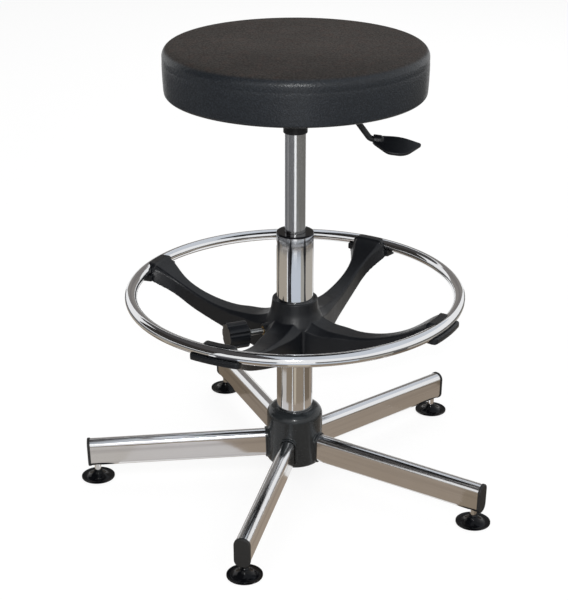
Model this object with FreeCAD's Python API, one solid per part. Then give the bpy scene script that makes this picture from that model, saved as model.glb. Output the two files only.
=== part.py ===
# Work stool: a round foam seat on a gas spring, a chrome column on a five-armed base,
# and a foot ring on a four-armed carrier that is clamped to the column by a knob.
# Millimetres, +Z up. The origin is on the floor, on the column's axis.
import FreeCAD
import Part
import math
import os

from FreeCAD import Vector

UP = Vector(0, 0, 1)

# Fits
SLIP = 0.05                 # between pieces that are pressed, welded or screwed together
RUN = 0.08                  # between a shaft and the hole it turns or slides in
SOFT_GAP = 0.3              # round moulded pieces

# Glides
GLIDE_RADIUS = 23.2
GLIDE_FLAT = 21.0
GLIDE_EDGE = 2.4
GLIDE_HEIGHT = 11.5
GLIDE_NECK = 6.5
GLIDE_SOCKET = 3.5
GLIDE_INSET = 9.0           # stem's axis from the end of the arm's tube
STEM_RADIUS = 4.5
STEM_SHOWN = 8.5            # between the glide and the arm
STEM_REACH = 24.0           # above the arm's underside
STEM_CHAMFER = 1.0
STEM_BUSH_WALL = 2.0
STEM_BUSH_START = 5.0       # above the arm's underside
STEM_HOLE_GAP = 1.5

# Base
ARM_COUNT = 5
FIRST_ARM_ANGLE = -102.9
ARM_WIDTH = 20.0
ARM_HEIGHT = 40.0
ARM_CORNER = 9.0
ARM_WALL = 2.0
ARM_DROP = 6.0
ARM_END = 288.0
CAP_FLANGE = 4.0
CAP_PROUD = 0.8
CAP_ROUNDING = 1.4
CAP_PLUG = 24.0
CORE_WALL = 4.95
HUB_WALL = 8.95
HUB_BELOW_ARMS = 4.6
HUB_HEIGHT = 81.6
HUB_SHOULDER = 13.0
HUB_FOOT_ROUNDING = 4.0
CORE_HEIGHT = 64.6
LIP_WIDTH = 2.4
LIP_PROUD = 2.6

# Column
COLUMN_RADIUS = 25.0
COLUMN_WALL = 2.0
COLUMN_LENGTH = 334.5
COLUMN_RAISED = 3.6         # column's foot above the hub's
BEARING_PLATE_RAISED = 5.0
BEARING_PLATE_THICKNESS = 5.0
BEARING_PLATE_GAP = 1.5

# Bush at the top of the column
BUSH_LENGTH = 70.0
BUSH_FLANGE = 2.5
BUSH_ROUNDING = 1.0

# Gas spring
CYLINDER_RADIUS = 14.0
CYLINDER_WALL = 2.0
CYLINDER_BOTTOM = 207.0     # as pictured, 115 mm above the lowest setting
CYLINDER_TOP = 536.0
CYLINDER_END = 8.0
TAPER_LENGTH = 36.0
TAPER_STEP = 0.8
GUIDE_LENGTH = 16.0
CRIMP = 1.5
ROD_RADIUS = 5.0
ROD_BELOW_PLATE = 4.0
RISE_LEFT = 87.5            # the cylinder can still rise this far below the piston
PISTON_LENGTH = 10.0
BUTTON_RADIUS = 4.0
BUTTON_PROUD = 5.0
BUTTON_DEPTH = 10.0

# Thrust bearing on the bearing plate
RACE_BORE_GAP = 1.0
RACE_WIDTH = 10.0
RACE_THICKNESS = 2.0
BALL_RADIUS = 1.95
BALL_COUNT = 10
BALL_GAP = 0.05
CAGE_HALF_WIDTH = 2.9
CAGE_THICKNESS = 1.2
BUFFER_WALL = 5.5
BUFFER_LENGTH = 12.0
CLIP_WIDTH = 4.0
CLIP_THICKNESS = 1.6
CLIP_GROOVE = 1.0
CLIP_MOUTH = 6.0

# Slotted liner between carrier and column
LINER_WALL = 1.2
LINER_FLANGE = 4.0
LINER_FLANGE_THICKNESS = 2.4
LINER_SLOT = 3.0

# Foot ring and its carrier
RING_RADIUS = 222.0
RING_TUBE = 8.0
RING_WALL = 1.5
RING_RISE = 84.6            # ring's centre line above the carrier's foot
CARRIER_BOTTOM = 191.0
CARRIER_HEIGHT = 76.0
CARRIER_HEADING = -73.5     # the carrier is symmetrical about this direction
FRONT_SPREAD = 42.4
BACK_SPREAD = 47.4
COLLAR_WALL = 4.4
WAIST_STEP = 2.1
SKIRT_STEP = 8.4
SKIRT_HEIGHT = 44.0
WAIST_RISE = 16.0
ARM_ROOT_SINK = 10.8        # the arms start this far inside the collar's face
INNER_STATIONS = (          # share of the way out, top and bottom above the carrier's foot,
    (0.0, 52.0, 0.5, 24.0, 25.0, 11.0),     # half widths below the bevel and at the foot, bevel
    (0.089, 49.0, 0.5, 24.0, 25.0, 10.0),
    (0.173, 44.2, 1.4, 21.0, 21.9, 7.5),
    (0.272, 43.2, 7.0, 18.0, 18.6, 5.0),
    (0.371, 42.8, 12.6, 14.7, 15.3, 3.5),
    (0.470, 45.2, 18.3, 12.5, 12.8, 2.5),
    (0.569, 50.1, 24.9, 10.8, 11.0, 2.0),
)
OUTER_STATIONS = (          # the same, with top and bottom below the ring's centre line
    (0.668, 27.0, 51.7, 9.8, 10.0, 2.0),
    (0.752, 18.5, 41.4, 10.5, 11.2, 2.0),
    (0.832, 7.6, 29.6, 14.6, 16.6, 2.5),
    (0.906, -3.4, 18.4, 21.0, 26.0, 4.0),
    (0.950, -8.2, 11.4, 23.0, 31.5, 6.0),
)
CRADLE_HALF_ANGLE = 9.0     # of the floor and the outer lip
CRADLE_WALL_HALF_ANGLE = 6.2
CRADLE_WALL = 4.5
CRADLE_FLOOR = 5.0
CRADLE_EAR_ROUND = 8.0      # upper corners of the wall
CRADLE_LIP_ROUND = 9.0      # outer corners of the floor
CRADLE_RISE = 9.0           # top of the inner wall above the ring's centre line
CRADLE_LIP = 3.2
CRADLE_LIP_DROP = 4.5       # top of the outer lip below the ring's centre line

# Screws that hold the ring in its cradles
RING_SCREW_RADIUS = 2.0
RING_SCREW_HEAD = 4.2
RING_SCREW_HEAD_HEIGHT = 2.6
RING_SCREW_REACH = 2.6      # past the inside of the ring's wall
RING_SCREW_GAP = 0.2

# Clamp
CLAMP_ANGLE = 202.0
CLAMP_RISE = 33.0           # above the carrier's foot
STUD_RADIUS = 4.0
STUD_NOSE = 2.6
STUD_NOSE_SINK = 1.8
PAD_RADIUS = 5.0
PAD_FACE_GAP = 0.2
PAD_LENGTH = 5.9
PAD_TRAVEL = 1.6
INSERT_WALL = 2.0
INSERT_LENGTH = 13.0
BOSS_RADIUS = 10.0
STUD_SHOWN = 24.0
KNOB_LENGTH = 28.5
KNOB_RADIUS = 18.5
KNOB_FLUTES = 8
KNOB_FLUTE_RADIUS = 4.0
KNOB_FLUTE_SET_OUT = 1.28
KNOB_ROUNDING = 1.6
KNOB_SOCKET = 20.0
NUT_WALL = 2.5
NUT_THICKNESS = 5.0

# Release lever
CAM_WIDTH = 11.0
CAM_TIP = 1.0
CAM_THICKNESS = 4.6
CAM_BUTTON_GAP = 0.3
CAM_PLATE_GAP = 3.6
CAM_BOSS = 6.2
CAM_REACH = 20.0            # past the pivot
CAM_STRAP_GAP = 0.8
PIN_RADIUS = 3.0
PIN_OVERHANG = 3.0
PIN_CLIP_WIDTH = 1.6
PIN_CLIP_THICKNESS = 1.0
EAR_THICKNESS = 3.0
EAR_GAP = 0.5
EAR_HALF_LENGTH = 8.0
EAR_BELOW_PIN = 8.0
EAR_SOCKET_GAP = 1.0
BRACKET_STRAP = 2.0
LEVER_RADIUS = 4.0
LEVER_BELOW_PIN = 5.5
LEVER_START_GAP = 8.0       # rod's end past the pivot
LEVER_LEVEL_RUN = 23.3
LEVER_STEEP_RUN = 32.7
LEVER_STEEP_DROP = 44.5
LEVER_END_RUN = 14.0
LEVER_SLOPE = 7.0
BEND_RADIUS = 10.0
PADDLE_LENGTH = 65.5
PADDLE_FRONT = 24.0
PADDLE_BACK = 9.0
PADDLE_THICKNESS = 5.0
PADDLE_TILT = 28.0
PADDLE_BOSS_WALL = 2.4
PADDLE_BOSS_LENGTH = 13.0
PADDLE_ROUNDING = 1.5
PADDLE_CORNERS = {0: 3.0, 1: 60.0, 2: 3.0, 3: 24.0, 4: 16.0, 5: 5.0}

# Taper socket under the seat plate
SOCKET_LENGTH = 50.5
SOCKET_WALL = 2.0
SOCKET_STRAIGHT = 22.0
SOCKET_SPREAD = 3.0
SOCKET_FLANGE_WIDTH = 5.0
SOCKET_FLANGE_THICKNESS = 3.0
SOCKET_WINDOW_GAP = 1.0

# Seat
SEAT_RADIUS = 170.5
SEAT_THICKNESS = 63.5
SEAT_CROWN = 1.5
SEAT_TOP_ROUNDING = 13.0
SEAT_BOTTOM_ROUNDING = 4.0
FOAM_RIM = 30.5             # of foam outside the board
BOARD_THICKNESS = 12.0
PLATE_LENGTH = 180.0
PLATE_WIDTH = 150.0
PLATE_THICKNESS = 3.0
PLATE_CORNER = 16.0
SCREW_INSET = 20.0
SCREW_RADIUS = 4.0
SCREW_HOLE_GAP = 0.4
SCREW_HEAD_WALL = 2.5
SCREW_HEAD_HEIGHT = 5.3
SCREW_SHORT = 0.2
WASHER_WIDTH = 4.0
WASHER_THICKNESS = 1.6
T_NUT_WALL = 1.2
T_NUT_SHORT = 2.0

# Base, worked out from the floor up
ARM_UNDERSIDE = GLIDE_HEIGHT + STEM_SHOWN
ARM_HEIGHT_AT_HUB = ARM_UNDERSIDE + ARM_HEIGHT / 2 + ARM_DROP
GLIDE_CIRCLE = ARM_END - GLIDE_INSET
STEM_TOP = ARM_UNDERSIDE + STEM_REACH
STEM_BUSH_BOTTOM = ARM_UNDERSIDE + STEM_BUSH_START
STEM_BUSH_RADIUS = STEM_RADIUS + STEM_BUSH_WALL
CORE_RADIUS = COLUMN_RADIUS + SLIP + CORE_WALL
HUB_RADIUS = CORE_RADIUS + SLIP + HUB_WALL
HUB_BOTTOM = ARM_HEIGHT_AT_HUB - ARM_HEIGHT / 2 - HUB_BELOW_ARMS
HUB_TOP = HUB_BOTTOM + HUB_HEIGHT
CORE_TOP = HUB_BOTTOM + CORE_HEIGHT
ARM_SLOPE = math.degrees(math.atan2(ARM_DROP, ARM_END - CORE_RADIUS))
ARM_ANGLES = [FIRST_ARM_ANGLE + 360.0 / ARM_COUNT * n for n in range(ARM_COUNT)]

# Column, bearing and gas spring
COLUMN_BORE = COLUMN_RADIUS - COLUMN_WALL
COLUMN_BOTTOM = HUB_BOTTOM + COLUMN_RAISED
COLUMN_TOP = COLUMN_BOTTOM + COLUMN_LENGTH
BEARING_PLATE_BOTTOM = COLUMN_BOTTOM + BEARING_PLATE_RAISED
BEARING_BOTTOM = BEARING_PLATE_BOTTOM + BEARING_PLATE_THICKNESS
RACE_BORE = ROD_RADIUS + RACE_BORE_GAP
RACE_RADIUS = RACE_BORE + RACE_WIDTH
BALL_CIRCLE = RACE_BORE + RACE_WIDTH / 2
BALL_SPACE = 2 * (BALL_RADIUS + BALL_GAP)
BALL_HEIGHT = BEARING_BOTTOM + RACE_THICKNESS + BALL_SPACE / 2
UPPER_RACE_BOTTOM = BEARING_BOTTOM + RACE_THICKNESS + BALL_SPACE
CLIP_BOTTOM = BEARING_PLATE_BOTTOM - SOFT_GAP - CLIP_THICKNESS
CLIP_RADIUS = ROD_RADIUS + CLIP_WIDTH
ROD_BOTTOM = BEARING_PLATE_BOTTOM - ROD_BELOW_PLATE
CYLINDER_BORE = CYLINDER_RADIUS - CYLINDER_WALL
TAPER_RADIUS = CYLINDER_RADIUS - TAPER_STEP
TAPER_START = CYLINDER_TOP - TAPER_LENGTH
PISTON_BOTTOM = CYLINDER_BOTTOM + CRIMP + GUIDE_LENGTH + RISE_LEFT

# Carrier and clamp
LINER_INNER = COLUMN_RADIUS + RUN
LINER_OUTER = LINER_INNER + LINER_WALL
CARRIER_BORE = LINER_OUTER + RUN
CARRIER_TOP = CARRIER_BOTTOM + CARRIER_HEIGHT
COLLAR_RADIUS = CARRIER_BORE + COLLAR_WALL
WAIST_RADIUS = COLLAR_RADIUS + WAIST_STEP
SKIRT_RADIUS = COLLAR_RADIUS + SKIRT_STEP
SKIRT_TOP = CARRIER_BOTTOM + SKIRT_HEIGHT
RING_HEIGHT = CARRIER_BOTTOM + RING_RISE
CRADLE_BOTTOM = RING_HEIGHT - RING_TUBE - CRADLE_FLOOR
CARRIER_ANGLES = [
    CARRIER_HEADING + FRONT_SPREAD,
    CARRIER_HEADING + 180 - BACK_SPREAD,
    CARRIER_HEADING + 180 + BACK_SPREAD,
    CARRIER_HEADING - FRONT_SPREAD,
]
CLAMP_HEIGHT = CARRIER_BOTTOM + CLAMP_RISE
PAD_START = LINER_OUTER + PAD_FACE_GAP
PAD_END = PAD_START + PAD_LENGTH
STUD_TIP = PAD_END - STUD_NOSE_SINK
INSERT_START = PAD_END + PAD_TRAVEL
INSERT_RADIUS = STUD_RADIUS + INSERT_WALL
BOSS_END = INSERT_START + INSERT_LENGTH
KNOB_START = BOSS_END + STUD_SHOWN

# Seat and lever, worked out from the top of the cylinder up
PLATE_BOTTOM = CYLINDER_TOP + BUTTON_PROUD + CAM_BUTTON_GAP + CAM_THICKNESS + CAM_PLATE_GAP
SEAT_BOTTOM = PLATE_BOTTOM + PLATE_THICKNESS
SOCKET_BOTTOM = PLATE_BOTTOM - SOCKET_LENGTH
SOCKET_RADIUS = CYLINDER_RADIUS + SOCKET_WALL
SOCKET_TOP_RADIUS = SOCKET_RADIUS + SOCKET_SPREAD
SOCKET_FLANGE = SOCKET_TOP_RADIUS + SOCKET_FLANGE_WIDTH
SOCKET_WINDOW = CAM_WIDTH + 2 * SOCKET_WINDOW_GAP
BOARD_RADIUS = SEAT_RADIUS - FOAM_RIM
T_NUT_RADIUS = SCREW_RADIUS + SLIP + T_NUT_WALL
T_NUT_LENGTH = BOARD_THICKNESS - T_NUT_SHORT
PIVOT_X = SOCKET_FLANGE + EAR_SOCKET_GAP + EAR_HALF_LENGTH
PIVOT_Z = PLATE_BOTTOM - BRACKET_STRAP - CAM_STRAP_GAP - CAM_BOSS
LEVER_Z = PIVOT_Z - LEVER_BELOW_PIN
LEVER_START = PIVOT_X + LEVER_START_GAP
LEVER_FIRST_BEND = LEVER_START + LEVER_LEVEL_RUN
LEVER_SECOND_BEND = LEVER_FIRST_BEND + LEVER_STEEP_RUN
LEVER_END = LEVER_SECOND_BEND + LEVER_END_RUN
CAM_END = PIVOT_X + CAM_REACH
PADDLE_BOSS = LEVER_RADIUS + PADDLE_BOSS_WALL


def rounded_wire(points, radii=None):
    """Closed wire through the points, with tangent arcs at the corners that radii names."""
    radii = radii or {}
    count = len(points)
    starts = list(points)
    ends = list(points)
    arcs = {}
    for index, radius in radii.items():
        corner = points[index]
        back = (points[index - 1] - corner).normalize()
        ahead = (points[(index + 1) % count] - corner).normalize()
        half = back.getAngle(ahead) / 2
        reach = radius / math.tan(half)
        inward = (back + ahead).normalize()
        middle = corner + inward * (radius / math.sin(half) - radius)
        starts[index] = corner + back * reach
        ends[index] = corner + ahead * reach
        arcs[index] = Part.Arc(starts[index], middle, ends[index]).toShape()
    edges = []
    for index in range(count):
        if index in arcs:
            edges.append(arcs[index])
        following = starts[(index + 1) % count]
        if (following - ends[index]).Length > 1e-6:
            edges.append(Part.makeLine(ends[index], following))
    return Part.Wire(edges)


def turned(outline, radii=None):
    """Solid of revolution about Z from a closed outline of (radius, height) corners."""
    wire = rounded_wire([Vector(r, 0, z) for r, z in outline], radii)
    return Part.Face(wire).revolve(Vector(), UP, 360)


def disc(radius, bottom, top, x=0.0, y=0.0):
    """Upright cylinder between two heights."""
    return Part.makeCylinder(radius, top - bottom, Vector(x, y, bottom))


def tube(outer, inner, bottom, top, x=0.0, y=0.0):
    """Upright tube between two heights."""
    return disc(outer, bottom, top, x, y).cut(disc(inner, bottom, top, x, y))


def turned_to(shape, angle):
    """Copy of the shape turned about the column's axis."""
    copy = shape.copy()
    copy.rotate(Vector(), UP, angle)
    return copy


def along_x(radius, start, end, height):
    """Cylinder that lies along +X at a height."""
    return Part.makeCylinder(radius, end - start, Vector(start, 0, height), Vector(1, 0, 0))


def hexagon(flat, start, end):
    """Hexagonal bar about Z between two heights."""
    corner = flat / math.sqrt(3)
    angles = [math.radians(60 * n) for n in range(6)]
    points = [Vector(corner * math.cos(a), corner * math.sin(a), start) for a in angles]
    return Part.Face(rounded_wire(points)).extrude(Vector(0, 0, end - start))


def group(shapes):
    """Separate solids kept in one node."""
    return Part.makeCompound(shapes)


def oval_bar(start, end, grow=0.0):
    """Bar of the arm's flat-oval section along X, centred on the arm, grown all round."""
    half_width = ARM_WIDTH / 2 + grow
    half_height = ARM_HEIGHT / 2 + grow
    corners = [
        Vector(start, -half_width, -half_height),
        Vector(start, half_width, -half_height),
        Vector(start, half_width, half_height),
        Vector(start, -half_width, half_height),
    ]
    wire = rounded_wire(corners, {n: ARM_CORNER + grow for n in range(4)})
    return Part.Face(wire).extrude(Vector(end - start, 0, 0))


def on_arm(shape):
    """Moves a shape from the arm's own level axis to the sloping place on the +X side."""
    copy = shape.copy()
    copy.rotate(Vector(CORE_RADIUS, 0, 0), Vector(0, 1, 0), ARM_SLOPE)
    copy.translate(Vector(0, 0, ARM_HEIGHT_AT_HUB))
    return copy


def base_hub():
    """Glossy black sleeve round the core, with a rounded shoulder and a lip round each arm."""
    bore = CORE_RADIUS + SLIP
    neck = COLUMN_RADIUS + SLIP
    body = turned(
        [(bore, HUB_BOTTOM), (HUB_RADIUS, HUB_BOTTOM), (HUB_RADIUS, HUB_TOP),
         (neck, HUB_TOP), (neck, CORE_TOP + SLIP), (bore, CORE_TOP + SLIP)],
        {1: HUB_FOOT_ROUNDING, 2: HUB_SHOULDER})
    lip = on_arm(oval_bar(CORE_RADIUS + SOFT_GAP, HUB_RADIUS + LIP_PROUD, LIP_WIDTH))
    lip = lip.cut(disc(bore, 0, HUB_TOP))
    window = on_arm(oval_bar(0, HUB_RADIUS + 2 * LIP_PROUD, SOFT_GAP))
    for angle in ARM_ANGLES:
        body = body.fuse(turned_to(lip, angle))
    for angle in ARM_ANGLES:
        body = body.cut(turned_to(window, angle))
    return body.removeSplitter()


def hub_core():
    """Steel tube that the arms are welded to and the column is pressed into."""
    return tube(CORE_RADIUS, COLUMN_RADIUS + SLIP, HUB_BOTTOM, CORE_TOP)


def base_arm():
    """Flat-oval steel tube, cut to the core, with a hole for the glide's stem."""
    bar = oval_bar(0, ARM_END).cut(oval_bar(-1, ARM_END + 1, -ARM_WALL))
    arm = on_arm(bar).cut(disc(CORE_RADIUS + SLIP, 0, HUB_TOP))
    hole = STEM_BUSH_RADIUS + STEM_HOLE_GAP
    return arm.cut(disc(hole, 0, ARM_UNDERSIDE + ARM_HEIGHT / 2, GLIDE_CIRCLE))


def end_cap():
    """Moulded cap: a flange proud of the tube and a plug that holds the threaded bush."""
    flange = oval_bar(ARM_END, ARM_END + CAP_FLANGE, CAP_PROUD)
    outer = [e for e in flange.Edges if e.BoundBox.XMin > ARM_END + CAP_FLANGE - 1e-3]
    flange = flange.makeFillet(CAP_ROUNDING, outer)
    plug = oval_bar(ARM_END - CAP_PLUG, ARM_END, -ARM_WALL - SLIP)
    cap = on_arm(flange.fuse(plug))
    return cap.cut(disc(STEM_BUSH_RADIUS + SLIP, 0, HUB_TOP, GLIDE_CIRCLE))


def stem_bush():
    """Threaded bush in the cap's plug."""
    radius = STEM_RADIUS + RUN
    return tube(STEM_BUSH_RADIUS, radius, STEM_BUSH_BOTTOM, STEM_TOP, GLIDE_CIRCLE)


def glide_stem():
    """Chromed stem, screwed into the bush and fixed in the glide."""
    stem = disc(STEM_RADIUS, GLIDE_SOCKET, STEM_TOP, GLIDE_CIRCLE)
    rim = [e for e in stem.Edges if e.BoundBox.ZMin > STEM_TOP - 1e-3]
    return stem.makeChamfer(STEM_CHAMFER, rim)


def glide():
    """Trumpet-shaped plastic foot with a flat underside."""
    flare_start = Vector(GLIDE_RADIUS, 0, GLIDE_EDGE)
    flare_end = Vector(GLIDE_NECK, 0, GLIDE_HEIGHT - 1)
    sag = Vector(GLIDE_NECK + 0.27 * (GLIDE_RADIUS - GLIDE_NECK), 0, 0.4 * GLIDE_HEIGHT)
    socket_radius = STEM_RADIUS + SLIP
    corners = [Vector(GLIDE_NECK - 1, 0, GLIDE_HEIGHT), Vector(socket_radius, 0, GLIDE_HEIGHT),
               Vector(socket_radius, 0, GLIDE_SOCKET), Vector(0, 0, GLIDE_SOCKET), Vector(),
               Vector(GLIDE_FLAT, 0, 0), Vector(GLIDE_RADIUS, 0, 1.0), flare_start]
    edges = [Part.Arc(flare_start, sag, flare_end).toShape()]
    path = [flare_end] + corners
    edges += [Part.makeLine(a, b) for a, b in zip(path, path[1:])]
    foot = Part.Face(Part.Wire(edges)).revolve(Vector(), UP, 360)
    foot.translate(Vector(GLIDE_CIRCLE, 0, 0))
    return foot


def column_tube():
    """Chromed outer column."""
    return tube(COLUMN_RADIUS, COLUMN_BORE, COLUMN_BOTTOM, COLUMN_TOP)


def column_bush():
    """Plastic bush that guides the cylinder at the top of the column."""
    bore = CYLINDER_RADIUS + RUN
    body = COLUMN_BORE - SLIP
    top = COLUMN_TOP + BUSH_FLANGE
    return turned(
        [(bore, COLUMN_TOP - BUSH_LENGTH), (body, COLUMN_TOP - BUSH_LENGTH), (body, COLUMN_TOP),
         (COLUMN_RADIUS, COLUMN_TOP), (COLUMN_RADIUS, top), (bore, top)],
        {4: BUSH_ROUNDING, 5: BUSH_ROUNDING})


def bearing_plate():
    """Plate welded in the foot of the column, which the thrust bearing stands on."""
    hole = ROD_RADIUS + BEARING_PLATE_GAP
    return tube(COLUMN_BORE - SLIP, hole, BEARING_PLATE_BOTTOM, BEARING_BOTTOM)


def race(bottom):
    """Hardened washer of the thrust bearing."""
    return tube(RACE_RADIUS, RACE_BORE, bottom, bottom + RACE_THICKNESS)


def ball_cage():
    """Ring that spaces the balls."""
    half = CAGE_THICKNESS / 2
    inner = BALL_CIRCLE - CAGE_HALF_WIDTH
    outer = BALL_CIRCLE + CAGE_HALF_WIDTH
    cage = tube(outer, inner, BALL_HEIGHT - half, BALL_HEIGHT + half)
    pocket = disc(BALL_RADIUS + RUN, BALL_HEIGHT - half, BALL_HEIGHT + half, BALL_CIRCLE)
    for n in range(BALL_COUNT):
        cage = cage.cut(turned_to(pocket, 360.0 / BALL_COUNT * n))
    return cage


def thrust_balls():
    """Balls of the thrust bearing."""
    ball = Part.makeSphere(BALL_RADIUS, Vector(BALL_CIRCLE, 0, BALL_HEIGHT))
    return group([turned_to(ball, 360.0 / BALL_COUNT * n) for n in range(BALL_COUNT)])


def piston_rod():
    """Rod held at the foot of the column, with a groove for its clip."""
    rod = disc(ROD_RADIUS, ROD_BOTTOM, PISTON_BOTTOM + PISTON_LENGTH)
    groove = tube(ROD_RADIUS + 1, ROD_RADIUS - CLIP_GROOVE, CLIP_BOTTOM, CLIP_BOTTOM + CLIP_THICKNESS)
    return rod.cut(groove)


def rod_clip():
    """Retaining clip under the bearing plate."""
    top = CLIP_BOTTOM + CLIP_THICKNESS
    ring = tube(CLIP_RADIUS, ROD_RADIUS - CLIP_GROOVE + SLIP, CLIP_BOTTOM, top)
    corner = Vector(0, -CLIP_MOUTH / 2, CLIP_BOTTOM)
    mouth = Part.makeBox(CLIP_RADIUS, CLIP_MOUTH, CLIP_THICKNESS, corner)
    return ring.cut(mouth)


def rod_buffer():
    """Rubber stop on the upper race."""
    bottom = UPPER_RACE_BOTTOM + RACE_THICKNESS
    inner = ROD_RADIUS + SLIP
    return tube(inner + BUFFER_WALL, inner, bottom, bottom + BUFFER_LENGTH)


def piston():
    """Piston on the rod, inside the cylinder."""
    top = PISTON_BOTTOM + PISTON_LENGTH
    return tube(CYLINDER_BORE - RUN, ROD_RADIUS + SLIP, PISTON_BOTTOM, top)


def gas_cylinder():
    """Satin chromed cylinder with a taper at its top and a crimped foot."""
    hole = BUTTON_RADIUS + RUN
    shelf = CYLINDER_TOP - CYLINDER_END
    return turned(
        [(CYLINDER_BORE - CRIMP, CYLINDER_BOTTOM), (CYLINDER_RADIUS, CYLINDER_BOTTOM),
         (CYLINDER_RADIUS, TAPER_START), (TAPER_RADIUS, CYLINDER_TOP), (hole, CYLINDER_TOP),
         (hole, shelf), (CYLINDER_BORE, shelf), (CYLINDER_BORE, CYLINDER_BOTTOM + CRIMP),
         (CYLINDER_BORE - CRIMP, CYLINDER_BOTTOM + CRIMP)],
        {1: CRIMP})


def cylinder_guide():
    """Guide and seal round the rod at the foot of the cylinder."""
    bottom = CYLINDER_BOTTOM + CRIMP
    return tube(CYLINDER_BORE - SLIP, ROD_RADIUS + RUN, bottom, bottom + GUIDE_LENGTH)


def release_button():
    """Pin in the cylinder's end that opens the valve."""
    return disc(BUTTON_RADIUS, CYLINDER_TOP - BUTTON_DEPTH, CYLINDER_TOP + BUTTON_PROUD)


def taper_socket():
    """Socket welded under the seat plate, pushed onto the cylinder's taper."""
    straight_top = SOCKET_BOTTOM + SOCKET_STRAIGHT
    flange_bottom = PLATE_BOTTOM - SOCKET_FLANGE_THICKNESS
    bore = CYLINDER_RADIUS + SLIP
    small = TAPER_RADIUS + SLIP
    body = turned(
        [(bore, SOCKET_BOTTOM), (SOCKET_RADIUS, SOCKET_BOTTOM), (SOCKET_RADIUS, straight_top),
         (SOCKET_TOP_RADIUS, flange_bottom), (SOCKET_FLANGE, flange_bottom),
         (SOCKET_FLANGE, PLATE_BOTTOM), (small, PLATE_BOTTOM), (small, CYLINDER_TOP),
         (bore, TAPER_START)],
        {1: 0.8})
    sill = CYLINDER_TOP + SLIP
    window = Part.makeBox(
        SOCKET_FLANGE + 1, SOCKET_WINDOW, PLATE_BOTTOM - sill, Vector(0, -SOCKET_WINDOW / 2, sill))
    return body.cut(window)


def screw_places():
    """Centres of the four seat screws."""
    half_x = PLATE_LENGTH / 2 - SCREW_INSET
    half_y = PLATE_WIDTH / 2 - SCREW_INSET
    return [(x, y) for x in (-half_x, half_x) for y in (-half_y, half_y)]


def seat_plate():
    """Steel plate under the seat board."""
    half_x = PLATE_LENGTH / 2
    half_y = PLATE_WIDTH / 2
    corners = [Vector(-half_x, -half_y, PLATE_BOTTOM), Vector(half_x, -half_y, PLATE_BOTTOM),
               Vector(half_x, half_y, PLATE_BOTTOM), Vector(-half_x, half_y, PLATE_BOTTOM)]
    wire = rounded_wire(corners, {n: PLATE_CORNER for n in range(4)})
    plate = Part.Face(wire).extrude(Vector(0, 0, PLATE_THICKNESS))
    for x, y in screw_places():
        plate = plate.cut(disc(SCREW_RADIUS + SCREW_HOLE_GAP, PLATE_BOTTOM, SEAT_BOTTOM, x, y))
    return plate


def seat_board():
    """Board moulded into the underside of the foam."""
    top = SEAT_BOTTOM + BOARD_THICKNESS
    board = disc(BOARD_RADIUS, SEAT_BOTTOM, top)
    for x, y in screw_places():
        board = board.cut(disc(T_NUT_RADIUS + SLIP, SEAT_BOTTOM, SEAT_BOTTOM + T_NUT_LENGTH, x, y))
    return board


def board_inserts():
    """Threaded inserts in the seat board."""
    top = SEAT_BOTTOM + T_NUT_LENGTH
    bore = SCREW_RADIUS + SLIP
    return group([tube(T_NUT_RADIUS, bore, SEAT_BOTTOM, top, x, y) for x, y in screw_places()])


def seat_screws():
    """Hexagon screws that hold the plate to the seat board."""
    under_washer = PLATE_BOTTOM - WASHER_THICKNESS
    across = 2 * (SCREW_RADIUS + SCREW_HEAD_WALL)
    head = hexagon(across, under_washer - SCREW_HEAD_HEIGHT, under_washer)
    screw = head.fuse(disc(SCREW_RADIUS, under_washer, SEAT_BOTTOM + T_NUT_LENGTH - SCREW_SHORT))
    return group([screw.translated(Vector(x, y, 0)) for x, y in screw_places()])


def seat_washers():
    """Washers under the screw heads."""
    bottom = PLATE_BOTTOM - WASHER_THICKNESS
    bore = SCREW_RADIUS + SLIP
    outer = SCREW_RADIUS + WASHER_WIDTH
    return group([tube(outer, bore, bottom, PLATE_BOTTOM, x, y) for x, y in screw_places()])


def seat_cushion():
    """Foam seat: a crowned disc with a full top edge, moulded round the board."""
    edge_top = SEAT_BOTTOM + SEAT_THICKNESS - SEAT_CROWN
    crown_top = SEAT_BOTTOM + SEAT_THICKNESS
    board_top = SEAT_BOTTOM + BOARD_THICKNESS + SLIP
    cut = 1 - math.sqrt(0.5)
    rim = SEAT_RADIUS - SEAT_TOP_ROUNDING
    foot = SEAT_RADIUS - SEAT_BOTTOM_ROUNDING
    shoulder = edge_top - SEAT_TOP_ROUNDING
    heel = SEAT_BOTTOM + SEAT_BOTTOM_ROUNDING
    half_rim = rim / 2
    top_cut = cut * SEAT_TOP_ROUNDING
    foot_cut = cut * SEAT_BOTTOM_ROUNDING
    points = {
        "centre": Vector(0, 0, crown_top),
        "crown": Vector(half_rim, 0, edge_top + SEAT_CROWN * 0.75),
        "rim": Vector(rim, 0, edge_top),
        "round": Vector(SEAT_RADIUS - top_cut, 0, edge_top - top_cut),
        "shoulder": Vector(SEAT_RADIUS, 0, shoulder),
        "heel": Vector(SEAT_RADIUS, 0, heel),
        "turn": Vector(SEAT_RADIUS - foot_cut, 0, SEAT_BOTTOM + foot_cut),
        "foot": Vector(foot, 0, SEAT_BOTTOM),
    }
    pocket = BOARD_RADIUS + SLIP
    edges = [
        Part.Arc(points["centre"], points["crown"], points["rim"]).toShape(),
        Part.Arc(points["rim"], points["round"], points["shoulder"]).toShape(),
        Part.makeLine(points["shoulder"], points["heel"]),
        Part.Arc(points["heel"], points["turn"], points["foot"]).toShape(),
        Part.makeLine(points["foot"], Vector(pocket, 0, SEAT_BOTTOM)),
        Part.makeLine(Vector(pocket, 0, SEAT_BOTTOM), Vector(pocket, 0, board_top)),
        Part.makeLine(Vector(pocket, 0, board_top), Vector(0, 0, board_top)),
        Part.makeLine(Vector(0, 0, board_top), points["centre"]),
    ]
    return Part.Face(Part.Wire(edges)).revolve(Vector(), UP, 360)


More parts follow.
